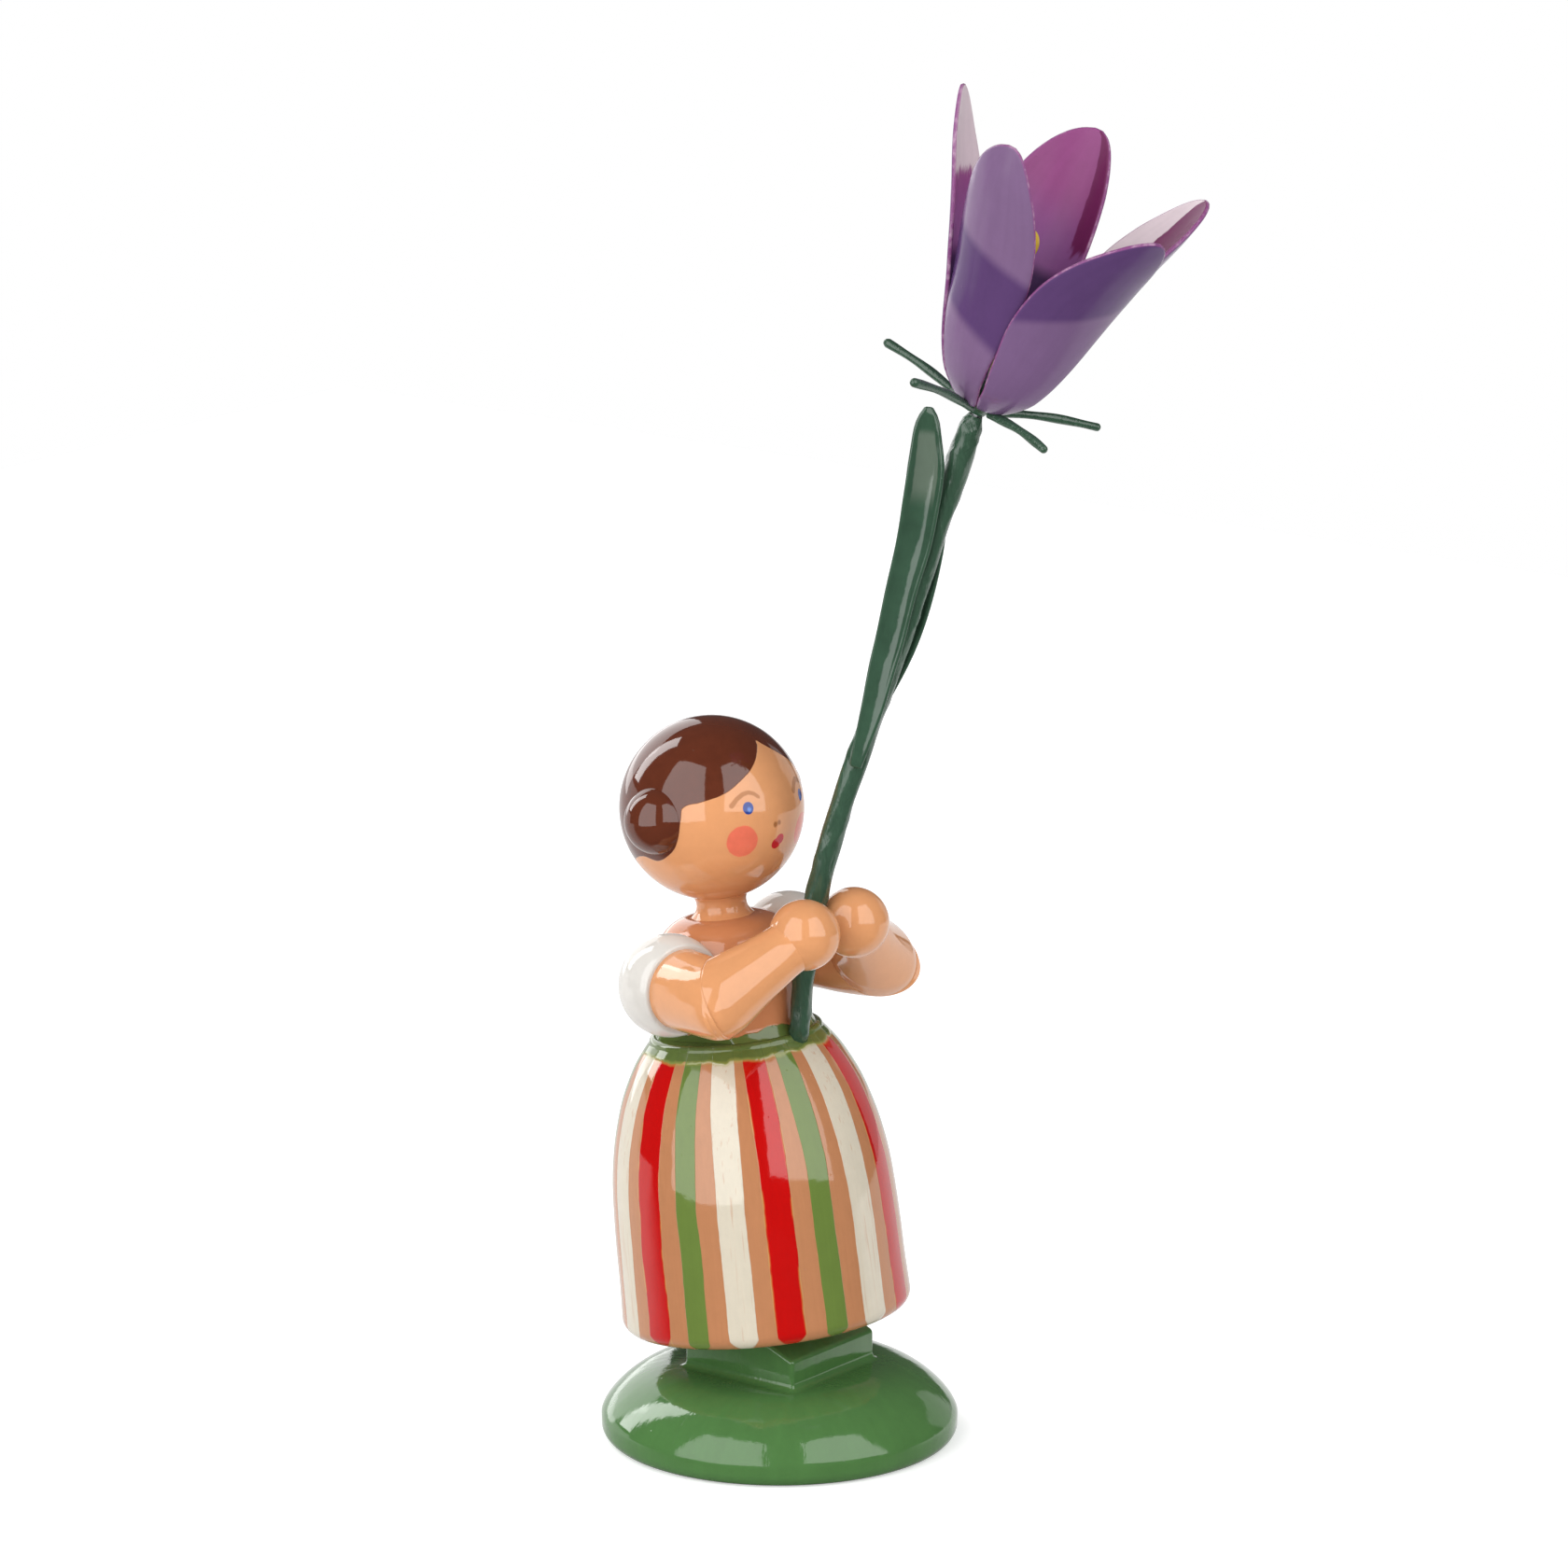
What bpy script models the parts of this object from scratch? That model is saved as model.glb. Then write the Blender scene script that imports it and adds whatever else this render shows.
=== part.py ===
"""Turned wooden figurine: a girl with side buns who holds up one tall flower.

Sizes are in metres. The world origin is the middle of the base's underside, +Z is up and
the girl faces -Y, so her right hand is on the -X side. The figure leans back on a wedge,
so everything above the foot block is drawn in the leaning figure frame, stacked from the
hem up. The bloom is drawn in its own frame at the tip of the bent stem. Design tables hold
shares of the length named beside them.
"""
import math

import bmesh
import bpy
from mathutils import Matrix, Vector

MM = 0.001

# Fits
GLUE_GAP = 0.2 * MM
PEG_CLEARANCE = 0.12 * MM

# Base and foot block
BASE_RADIUS = 15.0 * MM
BASE_EDGE_ROUND = 0.45 * MM
BASE_RIM_HEIGHT = 2.0 * MM
BASE_SEAT_RADIUS = 8.2 * MM
BASE_SEAT_HEIGHT = 6.15 * MM
BASE_DOME_FULLNESS = 0.78
BLOCK_SIDE = 11.35 * MM
BLOCK_HEIGHT = 4.0 * MM
BLOCK_FRONT_HEIGHT = 2.35 * MM
BLOCK_FRONT_SLOPE = math.radians(23.0)
BLOCK_EDGE_RADIUS = 0.22 * MM

# Lean of the figure and how far its underside is set back on the block
LEAN_BACK = math.radians(7.1)
LEAN_RIGHT = math.radians(0.95)
FIGURE_SETBACK = 1.26 * MM

# Dowel that joins base, block and skirt
DOWEL_RADIUS = 1.5 * MM
DOWEL_DEPTH_IN_BASE = 3.2 * MM
DOWEL_DEPTH_IN_SKIRT = 8.0 * MM
DOWEL_CHAMFER = 0.25 * MM

# Skirt: the turning template runs from the hem to the top in shares of height and radius
SKIRT_HEM_ROUND = 1.1 * MM
SKIRT_HEIGHT = 24.6 * MM
SKIRT_HEM_RADIUS = 12.17 * MM
SKIRT_TEMPLATE = (
    (0.045, 1.0), (0.163, 0.991), (0.285, 0.9869), (0.407, 0.9778), (0.528, 0.9597), (0.63, 0.9269),
    (0.711, 0.8874), (0.793, 0.8348), (0.854, 0.7806), (0.915, 0.7141), (0.959, 0.6508), (1.0, 0.5834),
)
SKIRT_STEPS = 14
SKIRT_TOP_CROWDING = 1.5

# Bodice and neck
BODICE_PEG_RADIUS = 2.4 * MM
BODICE_PEG_LENGTH = 4.0 * MM
BODICE_WAIST_RADIUS = 6.65 * MM
BODICE_WAIST_FLARE = 0.3 * MM
BODICE_FLARE_HEIGHT = 1.3 * MM
BODICE_CHEST_RADIUS = 6.45 * MM
BODICE_CHEST_HEIGHT = 4.6 * MM
BODICE_TOP_RADIUS = 2.75 * MM
BODICE_SHOULDER_FULLNESS = 0.85
BODICE_HEIGHT = 9.7 * MM
SHOULDER_FLAT_OFFSET = 5.35 * MM
NECK_LENGTH = 1.31 * MM
NECK_RADIUS = 2.1 * MM
NECK_FLARE_RADIUS = 2.7 * MM
NECK_FLARE_HEIGHT = 0.7 * MM
NECK_PEG_RADIUS = 1.2 * MM
NECK_PEG_LENGTH = 3.5 * MM

# Head and buns
HEAD_RADIUS = 7.69 * MM
HEAD_TURN = math.radians(5.5)
HEAD_SEAT_RADIUS = 2.45 * MM
BUN_RADIUS = 2.85 * MM
BUN_STANDOFF = -1.05 * MM
BUN_BEARING = math.radians(88.0)
BUN_LIFT = math.radians(2.5)

# Sleeves, arms and hands: the sleeve is placed from the bodice, the elbow and the hand
# from the sleeve
SLEEVE_STANDOFF = 2.75 * MM
SLEEVE_FORWARD = 0.2 * MM
SLEEVE_RISE = 5.7 * MM
SLEEVE_RADIUS = 4.3 * MM
SLEEVE_CUFF_RADIUS = 3.75 * MM
SLEEVE_CUFF_ROUND = 0.3 * MM
SHOULDER_PIN_RADIUS = 0.8 * MM
SHOULDER_PIN_DEPTH_IN_BODICE = 2.6 * MM
SHOULDER_PIN_DEPTH_IN_SLEEVE = 1.5 * MM
ELBOW_OUT = 2.5 * MM
ELBOW_FORWARD = 7.1 * MM
ELBOW_DROP_RIGHT = 0.4 * MM
ELBOW_DROP_LEFT = 1.6 * MM
UPPER_ARM_RADIUS = 3.4 * MM
ELBOW_RADIUS = 3.25 * MM
FOREARM_MIDDLE_RADIUS = 2.58 * MM
FOREARM_BACK_RADIUS = 3.52 * MM
WRIST_RADIUS = 2.1 * MM
ARM_PEG_RADIUS = 1.3 * MM
ARM_PEG_LENGTH = 1.4 * MM
HAND_FROM_MIDDLE = 3.35 * MM
HAND_FORWARD = 10.9 * MM
HAND_RISE_RIGHT = 3.6 * MM
HAND_RISE_LEFT = 3.15 * MM
HAND_RADIUS = 2.93 * MM
WRIST_PEG_RADIUS = 0.9 * MM
WRIST_PEG_LENGTH = 1.8 * MM

# Stem: a wire wrapped in paper and bent by hand. The bends are shares of its height above
# the skirt, in the figure frame.
STEM_HEIGHT = 50.84 * MM
STEM_HOLE_CLEARANCE = 0.15 * MM
STEM_HOLE_BENDS = 3
STEM_BENDS = (
    (0.001, -0.12, -0.0511),
    (-0.0069, -0.1328, -0.0118),
    (-0.0153, -0.1485, 0.0177),
    (-0.0073, -0.1592, 0.0941),
    (0.0051, -0.1742, 0.1793),
    (0.0076, -0.1932, 0.2383),
    (0.0202, -0.2353, 0.3518),
    (0.0471, -0.3019, 0.5036),
    (0.0695, -0.3561, 0.6234),
    (0.0907, -0.4085, 0.7414),
    (0.1162, -0.4728, 0.8896),
    (0.1281, -0.5033, 0.9629),
    (0.1359, -0.5224, 1.0),
)
STEM_STATIONS_PER_BEND = 3
STEM_RADIUS_FOOT = 0.84 * MM
STEM_RADIUS_TOP = 0.98 * MM
STEM_WIRE_RADIUS = 0.35 * MM
STEM_WIRE_END = 0.9 * MM

# Leaves: pressed channels glued along the stem. Foot and tip are shares of the stem's
# height, the tables run from foot to tip and bearings are in degrees from +X.
LEAF_THICKNESS = 0.35 * MM
LEAF_ROOT_GAP = 0.15 * MM
LEAF_CHANNEL_RADIUS = 1.8 * MM
LEAF_STATIONS = 15
LEAF_COLUMNS = 6
LEAF_FRONT_FOOT = 0.471
LEAF_FRONT_TIP = 1.0125
LEAF_FRONT_FACING = 205.0
LEAF_FRONT_BEARING = ((0.0, 215.0), (0.16, 199.0), (0.32, 174.0), (1.0, 165.0))
LEAF_FRONT_LIFT = 3.2 * MM
LEAF_FRONT_LIFT_BEARING = 127.4
LEAF_FRONT_LIFT_CURVE = (
    (0.0, 0.0), (0.32, 0.0), (0.5, 0.125), (0.63, 0.187), (0.73, 0.312), (0.83, 0.469), (0.9, 0.656),
    (1.0, 1.0),
)
LEAF_FRONT_HALF_WIDTH = 1.57 * MM
LEAF_FRONT_OUTLINE = (
    (0.0, 0.223), (0.16, 0.51), (0.32, 0.688), (0.52, 0.809), (0.66, 0.955), (0.83, 1.0), (0.91, 0.764),
    (0.97, 0.51), (1.0, 0.159),
)
LEAF_BACK_FOOT = 0.533
LEAF_BACK_TIP = 0.8355
LEAF_BACK_FACING = 197.0
LEAF_BACK_BEARING = ((0.0, 25.0), (0.5, 8.0), (1.0, 20.0))
LEAF_BACK_LIFT = 0.15 * MM
LEAF_BACK_LIFT_BEARING = 0.0
LEAF_BACK_LIFT_CURVE = ((0.0, 0.0), (0.5, 1.0), (1.0, 0.0))
LEAF_BACK_HALF_WIDTH = 1.0 * MM
LEAF_BACK_OUTLINE = ((0.0, 0.3), (0.35, 0.95), (0.6, 1.0), (0.85, 0.7), (1.0, 0.25))

# Bloom
BLOOM_LEAN_X = 0.226
BLOOM_LEAN_Y = -0.338
BLOOM_TURN = math.radians(-52.6)
RECEPTACLE_RADIUS = 1.5 * MM
RECEPTACLE_DROP = 0.75 * MM
RECEPTACLE_HEIGHT = 1.9 * MM

# Petals: the tables run from foot to tip in shares of the reach from the bloom's axis,
# the height above its base and the half width
PETAL_THICKNESS = 0.4 * MM
PETAL_LENGTHWISE_STEPS = 13
PETAL_CROSSWISE_STEPS = 8
PETAL_TIP_CROWDING = 1.25
PETAL_CUP_RADIUS = 4.6 * MM
PETAL_CUP_START = 0.15
PETAL_CUP_END = 0.55
PETAL_EDGE_LIFT = math.radians(6.0)
PETAL_REACH = 11.0 * MM
PETAL_REACH_CURVE = (
    (0.0, 0.177), (0.06, 0.25), (0.14, 0.373), (0.25, 0.482), (0.45, 0.614), (0.7, 0.814), (0.85, 0.927),
    (1.0, 1.0),
)
PETAL_HEIGHT = 22.6 * MM
PETAL_HEIGHT_CURVE = (
    (0.0, 0.0066), (0.06, 0.0332), (0.14, 0.0973), (0.25, 0.208), (0.45, 0.4248), (0.7, 0.6903), (1.0, 1.0),
)
PETAL_HALF_WIDTH = 4.55 * MM
PETAL_OUTLINE = (
    (0.0, 0.17), (0.14, 0.44), (0.25, 0.62), (0.45, 0.93), (0.62, 1.0), (0.78, 0.86), (0.88, 0.65),
    (0.95, 0.42), (0.985, 0.23), (1.0, 0.066),
)
PETAL_LAYER = 0.62 * MM
PETAL_LAYER_START = 0.14
PETAL_KEYS = ("azimuth", "twist", "roll", "reach", "rise", "layer", "width", "foot", "belly", "cup", "skew")
PETALS = (
    (-71.5, 22.0, 0.0, 0.945, 0.84, 1.0, 0.97, 1.14, -0.07, 1.6, 0.0),
    (10.0, 6.0, 0.0, 1.03, 0.96, 0.0, 1.05, 1.0, -0.05, 1.2, 0.0),
    (95.0, -8.0, -14.0, 1.0, 1.0, 0.0, 1.05, 1.0, -0.02, 1.2, -0.12),
    (157.0, 13.0, -5.0, 1.03, 1.035, 0.0, 0.91, 0.86, -0.06, 2.35, 0.0),
    (228.5, 1.0, 0.0, 1.0, 0.972, 0.0, 0.95, 0.92, 0.0, 1.15, 0.02),
)

# Bracts: bearing in degrees, then shares of the tip's rise and of the reach
BRACT_RADIUS = 0.31 * MM
BRACT_REACH = 10.3 * MM
BRACT_RISE = 1.75 * MM
BRACT_LEVEL = -0.3 * MM
BRACT_SAG = 0.25 * MM
BRACT_STEPS = 5
BRACTS = ((20.0, 0.8, 1.02), (88.0, 0.74, 0.9), (156.0, 0.83, 0.91), (233.0, 1.0, 1.06), (311.0, 0.05, 0.8))

# Pistil
PISTIL_ROD_RADIUS = 0.35 * MM
PISTIL_ROD_LENGTH = 11.6 * MM
PISTIL_STRAIGHT_LENGTH = 1.2 * MM
PISTIL_DEPTH_IN_RECEPTACLE = 0.9 * MM
PISTIL_DEPTH_IN_TIP = 0.9 * MM
PISTIL_LEAN = math.radians(5.5)
PISTIL_TIP_RADIUS = 0.9 * MM
PISTIL_TIP_HALF_LENGTH = 1.3 * MM

# Turning resolution
SEGMENTS_LARGE = 52
SEGMENTS_HEAD = 42
SEGMENTS_BEAD = 26
SEGMENTS_ARM = 26
SEGMENTS_PEG = 14
SEGMENTS_THIN = 8


# Materials
def make_material(name, colour, roughness):
    material = bpy.data.materials.new(name)
    material.use_nodes = True
    shader = material.node_tree.nodes["Principled BSDF"]
    shader.inputs["Base Color"].default_value = (*colour, 1.0)
    shader.inputs["Roughness"].default_value = roughness
    shader.inputs["Metallic"].default_value = 0.0
    material.diffuse_color = (*colour, 1.0)
    return material


def base_lacquer():
    return make_material("base_green_lacquer", (0.030, 0.085, 0.035), 0.12)


def skirt_lacquer():
    return make_material("skirt_lacquer", (0.61, 0.26, 0.14), 0.12)


def bodice_lacquer():
    return make_material("bodice_tan_lacquer", (0.58, 0.25, 0.13), 0.12)


def skin_lacquer():
    return make_material("skin_lacquer", (0.83, 0.36, 0.12), 0.12)


def hair_lacquer():
    return make_material("hair_brown_lacquer", (0.10, 0.028, 0.015), 0.1)


def sleeve_lacquer():
    return make_material("sleeve_white_lacquer", (0.80, 0.78, 0.73), 0.12)


def stem_lacquer():
    return make_material("stem_green_lacquer", (0.020, 0.075, 0.050), 0.3)


def petal_lacquer():
    return make_material("petal_purple_lacquer", (0.15, 0.06, 0.22), 0.25)


def pistil_lacquer():
    return make_material("pistil_yellow_lacquer", (0.75, 0.50, 0.04), 0.3)


def bare_wood():
    return make_material("beech_dowel", (0.60, 0.42, 0.24), 0.6)


def steel_wire():
    return make_material("stem_wire_steel", (0.45, 0.45, 0.46), 0.4)


# Curves that several pieces share
def arc_points(centre, radius, start, end, steps):
    """Points on an arc in the (radius, height) plane, both ends included."""
    points = []
    for index in range(steps + 1):
        angle = start + (end - start) * index / steps
        points.append((centre[0] + radius * math.cos(angle), centre[1] + radius * math.sin(angle)))
    return points


def smooth_path(points, steps):
    """Catmull-Rom curve through the points, with the given steps on each span."""
    first = points[0] * 2.0 - points[1]
    last = points[-1] * 2.0 - points[-2]
    padded = [first] + list(points) + [last]
    curve = []
    for span in range(len(points) - 1):
        p0, p1, p2, p3 = padded[span:span + 4]
        for index in range(steps):
            t = index / steps
            curve.append(
                0.5 * (p1 * 2.0 + (p2 - p0) * t + (p0 * 2.0 - p1 * 5.0 + p2 * 4.0 - p3) * t ** 2
                       + (p1 * 3.0 - p0 - p2 * 3.0 + p3) * t ** 3)
            )
    curve.append(points[-1].copy())
    return curve


def sample(table, position):
    """Smooth reading of a (position, value) design table between its rows."""
    count = len(table)
    for index in range(count - 1):
        x1, y1 = table[index]
        x2, y2 = table[index + 1]
        if position <= x2:
            x0, y0 = table[max(index - 1, 0)]
            x3, y3 = table[min(index + 2, count - 1)]
            width = x2 - x1
            slope_1 = width * (y2 - y0) / (x2 - x0)
            slope_2 = width * (y3 - y1) / (x3 - x1)
            u = (position - x1) / width
            rise = 3.0 * u ** 2 - 2.0 * u ** 3
            return (
                y1 + (y2 - y1) * rise + slope_1 * (u ** 3 - 2.0 * u ** 2 + u) + slope_2 * (u ** 3 - u ** 2)
            )
    return table[-1][1]


# Object helpers
def add_object(name, mesh, material, parent):
    mesh.materials.append(material)
    item = bpy.data.objects.new(name, mesh)
    bpy.context.collection.objects.link(item)
    item.parent = parent
    return item


def finish_mesh(name, form, smooth_angle):
    bmesh.ops.remove_doubles(form, verts=form.verts, dist=0.002 * MM)
    bmesh.ops.dissolve_degenerate(form, edges=form.edges, dist=0.001 * MM)
    bmesh.ops.recalc_face_normals(form, faces=form.faces)
    mesh = bpy.data.meshes.new(name)
    form.to_mesh(mesh)
    form.free()
    mesh.shade_smooth()
    mesh.set_sharp_from_angle(angle=smooth_angle)
    return mesh


def turned_form(profile, segments):
    """Solid of revolution about Z from a (radius, height) profile that ends on the axis."""
    form = bmesh.new()
    ring = [form.verts.new((radius, 0.0, height)) for radius, height in profile]
    edges = [form.edges.new(pair) for pair in zip(ring, ring[1:])]
    bmesh.ops.spin(
        form,
        geom=ring + edges,
        cent=(0.0, 0.0, 0.0),
        axis=(0.0, 0.0, 1.0),
        angle=2.0 * math.pi,
        steps=segments,
        use_merge=True,
    )
    bmesh.ops.remove_doubles(form, verts=form.verts, dist=0.002 * MM)
    return form


def turned_object(name, profile, segments, material, parent, smooth_angle=math.radians(35.0)):
    form = turned_form(profile, segments)
    return add_object(name, finish_mesh(name, form, smooth_angle), material, parent)


def cut_with_plane(form, point, normal):
    """Takes away what lies on the normal's side of the plane and closes the cut."""
    geometry = list(form.verts) + list(form.edges) + list(form.faces)
    cut = bmesh.ops.bisect_plane(
        form, geom=geometry, plane_co=point, plane_no=normal, dist=0.001 * MM, clear_outer=True
    )
    rim = [item for item in cut["geom_cut"] if isinstance(item, bmesh.types.BMEdge)]
    bmesh.ops.contextual_create(form, geom=rim)


def axis_frame(origin, direction):
    """Matrix with its Z axis along the direction and its origin at the point."""
    return Matrix.Translation(origin) @ direction.to_track_quat("Z", "Y").to_matrix().to_4x4()


def bore(target, name, radius, start, end):
    """Cuts a round hole between two points given in the target's own frame."""
    direction = end - start
    profile = [(0.0, 0.0), (radius, 0.0), (radius, direction.length), (0.0, direction.length)]
    cutter = turned_object(name, profile, SEGMENTS_PEG, target.data.materials[0], target)
    cutter.matrix_local = axis_frame(start, direction.normalized())
    return subtract(target, cutter)


def subtract(target, cutter):
    cutter.display_type = "WIRE"
    cutter.hide_render = True
    modifier = target.modifiers.new(cutter.name, "BOOLEAN")
    modifier.operation = "DIFFERENCE"
    modifier.solver = "EXACT"
    modifier.object = cutter
    return cutter


def apply_cuts(target, cutters):
    """Keeps the cut mesh and clears its cutters away."""
    bpy.context.view_layer.update()
    graph = bpy.context.evaluated_depsgraph_get()
    cut_mesh = bpy.data.meshes.new_from_object(target.evaluated_get(graph))
    target.modifiers.clear()
    target.data = cut_mesh
    for cutter in cutters:
        bpy.data.objects.remove(cutter, do_unlink=True)


def peg_profile(radius, start, end):
    """Chamfered dowel between two heights on the axis."""
    return [
        (0.0, start),
        (radius - DOWEL_CHAMFER, start),
        (radius, start + DOWEL_CHAMFER),
        (radius, end - DOWEL_CHAMFER),
        (radius - DOWEL_CHAMFER, end),
        (0.0, end),
    ]


# Base and foot block
def figure_axis():
    """Unit vector of the leaning figure's own axis in the world."""
    return Vector((
        -math.sin(LEAN_RIGHT),
        math.sin(LEAN_BACK) * math.cos(LEAN_RIGHT),
        math.cos(LEAN_BACK) * math.cos(LEAN_RIGHT),
    ))


def figure_origin():
    """Middle of the figure's underside, on the leaning seat of the block."""
    return Vector((0.0, FIGURE_SETBACK, BASE_SEAT_HEIGHT + BLOCK_HEIGHT))


def figure_matrix():
    """Frame of the leaning figure: Z along its axis, -Y towards its front."""
    axis = figure_axis()
    side = Vector((1.0, 0.0, 0.0))
    side = (side - axis * side.dot(axis)).normalized()
    matrix = Matrix((side, axis.cross(side), axis)).transposed().to_4x4()
    matrix.translation = figure_origin()
    return matrix


def base_profile():
    """Upright rim with a rounded foot, then a dome that runs up to the block's flat seat."""
    foot = (BASE_RADIUS - BASE_EDGE_ROUND, BASE_EDGE_ROUND)
    points = [(0.0, 0.0)]
    points += arc_points(foot, BASE_EDGE_ROUND, -0.5 * math.pi, 0.0, 3)
    points.append((BASE_RADIUS, BASE_RIM_HEIGHT))
    span = BASE_RADIUS - BASE_SEAT_RADIUS
    rise = BASE_SEAT_HEIGHT - BASE_RIM_HEIGHT
    steps = 10
    for index in range(1, steps + 1):
        share = index / steps
        points.append((BASE_RADIUS - span * share, BASE_RIM_HEIGHT + rise * dome_rise(share)))
    points.append((0.0, BASE_SEAT_HEIGHT))
    return points


def dome_rise(share):
    """Share of the dome's rise at a share of the way in from the rim to the seat."""
    return (1.0 - (1.0 - share) ** 2) ** BASE_DOME_FULLNESS


def build_base():
    base = turned_object("base_disc", base_profile(), SEGMENTS_LARGE, base_lacquer(), None)
    axis = figure_axis()
    start = figure_origin() - axis * (BLOCK_HEIGHT + DOWEL_DEPTH_IN_BASE + GLUE_GAP)
    end = figure_origin() + axis * DOWEL_RADIUS
    hole = bore(base, "base_dowel_hole", DOWEL_RADIUS + PEG_CLEARANCE, start, end)
    apply_cuts(base, [hole])


def block_side_outline():
    """Side view of the block: front toe face, sloped instep and the leaning seat."""
    half = 0.5 * BLOCK_SIDE
    bottom = BASE_SEAT_HEIGHT + GLUE_GAP
    toe_top = bottom + BLOCK_FRONT_HEIGHT
    seat_slope = -math.tan(LEAN_BACK)
    seat_at_origin = figure_origin().z - GLUE_GAP - seat_slope * FIGURE_SETBACK
    instep_slope = math.tan(BLOCK_FRONT_SLOPE)
    ridge_y = (seat_at_origin - toe_top - instep_slope * half) / (instep_slope - seat_slope)
    return [
        (-half, bottom),
        (-half, toe_top),
        (ridge_y, seat_at_origin + seat_slope * ridge_y),
        (half, seat_at_origin + seat_slope * half),
        (half, bottom),
    ]


def build_foot_block():
    form = bmesh.new()
    half = 0.5 * BLOCK_SIDE
    outline = [form.verts.new((-half, y, z)) for y, z in block_side_outline()]
    face = form.faces.new(outline)
    moved = bmesh.ops.extrude_face_region(form, geom=[face])
    far_side = [item for item in moved["geom"] if isinstance(item, bmesh.types.BMVert)]
    bmesh.ops.translate(form, verts=far_side, vec=(BLOCK_SIDE, 0.0, 0.0))
    bmesh.ops.bevel(
        form, geom=list(form.edges), offset=BLOCK_EDGE_RADIUS, segments=2, profile=0.5, affect="EDGES"
    )
    mesh = finish_mesh("foot_block", form, math.radians(30.0))
    block = add_object("foot_block", mesh, base_lacquer(), None)
    axis = figure_axis()
    start = figure_origin() - axis * (BLOCK_HEIGHT + DOWEL_DEPTH_IN_BASE)
    end = figure_origin() + axis * 2.0 * DOWEL_RADIUS
    hole = bore(block, "block_dowel_hole", DOWEL_RADIUS + PEG_CLEARANCE, start, end)
    apply_cuts(block, [hole])


def build_figure_dowel(figure):
    start = -(BLOCK_HEIGHT + DOWEL_DEPTH_IN_BASE)
    profile = peg_profile(DOWEL_RADIUS, start, DOWEL_DEPTH_IN_SKIRT - GLUE_GAP)
    turned_object("figure_dowel", profile, SEGMENTS_PEG, bare_wood(), figure)


# Skirt, bodice and neck
def skirt_wall(height):
    """Outer radius of the bell at a height above the hem, from the turning template."""
    return sample(SKIRT_TEMPLATE, height / SKIRT_HEIGHT) * SKIRT_HEM_RADIUS


def skirt_profile():
    hole = DOWEL_RADIUS + PEG_CLEARANCE
    socket = BODICE_PEG_RADIUS + PEG_CLEARANCE
    points = [(0.0, DOWEL_DEPTH_IN_SKIRT), (hole, DOWEL_DEPTH_IN_SKIRT), (hole, 0.0)]
    centre = (skirt_wall(SKIRT_HEM_ROUND) - SKIRT_HEM_ROUND, SKIRT_HEM_ROUND)
    points += arc_points(centre, SKIRT_HEM_ROUND, -0.5 * math.pi, 0.0, 4)
    for index in range(1, SKIRT_STEPS + 1):
        share = 1.0 - (1.0 - index / SKIRT_STEPS) ** SKIRT_TOP_CROWDING
        height = SKIRT_HEM_ROUND + (SKIRT_HEIGHT - SKIRT_HEM_ROUND) * share
        points.append((skirt_wall(height), height))
    points += [
        (socket, SKIRT_HEIGHT),
        (socket, SKIRT_HEIGHT - BODICE_PEG_LENGTH - GLUE_GAP),
        (0.0, SKIRT_HEIGHT - BODICE_PEG_LENGTH - GLUE_GAP),
    ]
    return points


def build_skirt(figure):
    skirt = turned_object("skirt", skirt_profile(), SEGMENTS_LARGE, skirt_lacquer(), figure)
    apply_cuts(skirt, [bore_for_stem(skirt, "skirt_stem_hole")])


def bore_for_stem(target, name):
    """Hole that follows the stem's foot, slanting down into the crease under the bodice."""
    path = stem_path_in_figure()[:STEM_HOLE_BENDS * STEM_STATIONS_PER_BEND + 1]
    path[0] = path[0] - (path[1] - path[0]).normalized() * GLUE_GAP
    form = bmesh.new()
    radius = STEM_RADIUS_FOOT + STEM_HOLE_CLEARANCE
    rings = [add_ring(form, frame, radius, SEGMENTS_PEG) for frame in path_frames(path)]
    close_tube(form, rings)
    mesh = finish_mesh(name, form, math.radians(40.0))
    cutter = add_object(name, mesh, target.data.materials[0], target)
    return subtract(target, cutter)


def bodice_profile():
    bottom = SKIRT_HEIGHT + GLUE_GAP
    top = bottom + BODICE_HEIGHT
    chest = bottom + BODICE_CHEST_HEIGHT
    socket = NECK_PEG_RADIUS + PEG_CLEARANCE
    socket_floor = top - NECK_PEG_LENGTH - GLUE_GAP
    points = [
        (0.0, bottom - BODICE_PEG_LENGTH),
        (BODICE_PEG_RADIUS - DOWEL_CHAMFER, bottom - BODICE_PEG_LENGTH),
        (BODICE_PEG_RADIUS, bottom - BODICE_PEG_LENGTH + DOWEL_CHAMFER),
        (BODICE_PEG_RADIUS, bottom),
        (BODICE_WAIST_RADIUS, bottom),
    ]
    for index in range(1, 5):
        t = index / 4
        radius = BODICE_WAIST_RADIUS - BODICE_WAIST_FLARE * (1.0 - (1.0 - t) ** 2)
        points.append((radius, bottom + BODICE_FLARE_HEIGHT * t))
    points.append((BODICE_CHEST_RADIUS, chest))
    steps = 8
    for index in range(1, steps + 1):
        angle = 0.5 * math.pi * index / steps
        spread = math.cos(angle) ** BODICE_SHOULDER_FULLNESS
        radius = BODICE_TOP_RADIUS + (BODICE_CHEST_RADIUS - BODICE_TOP_RADIUS) * spread
        points.append((radius, chest + (top - chest) * math.sin(angle)))
    points += [(socket, top), (socket, socket_floor), (0.0, socket_floor)]
    return points


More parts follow.
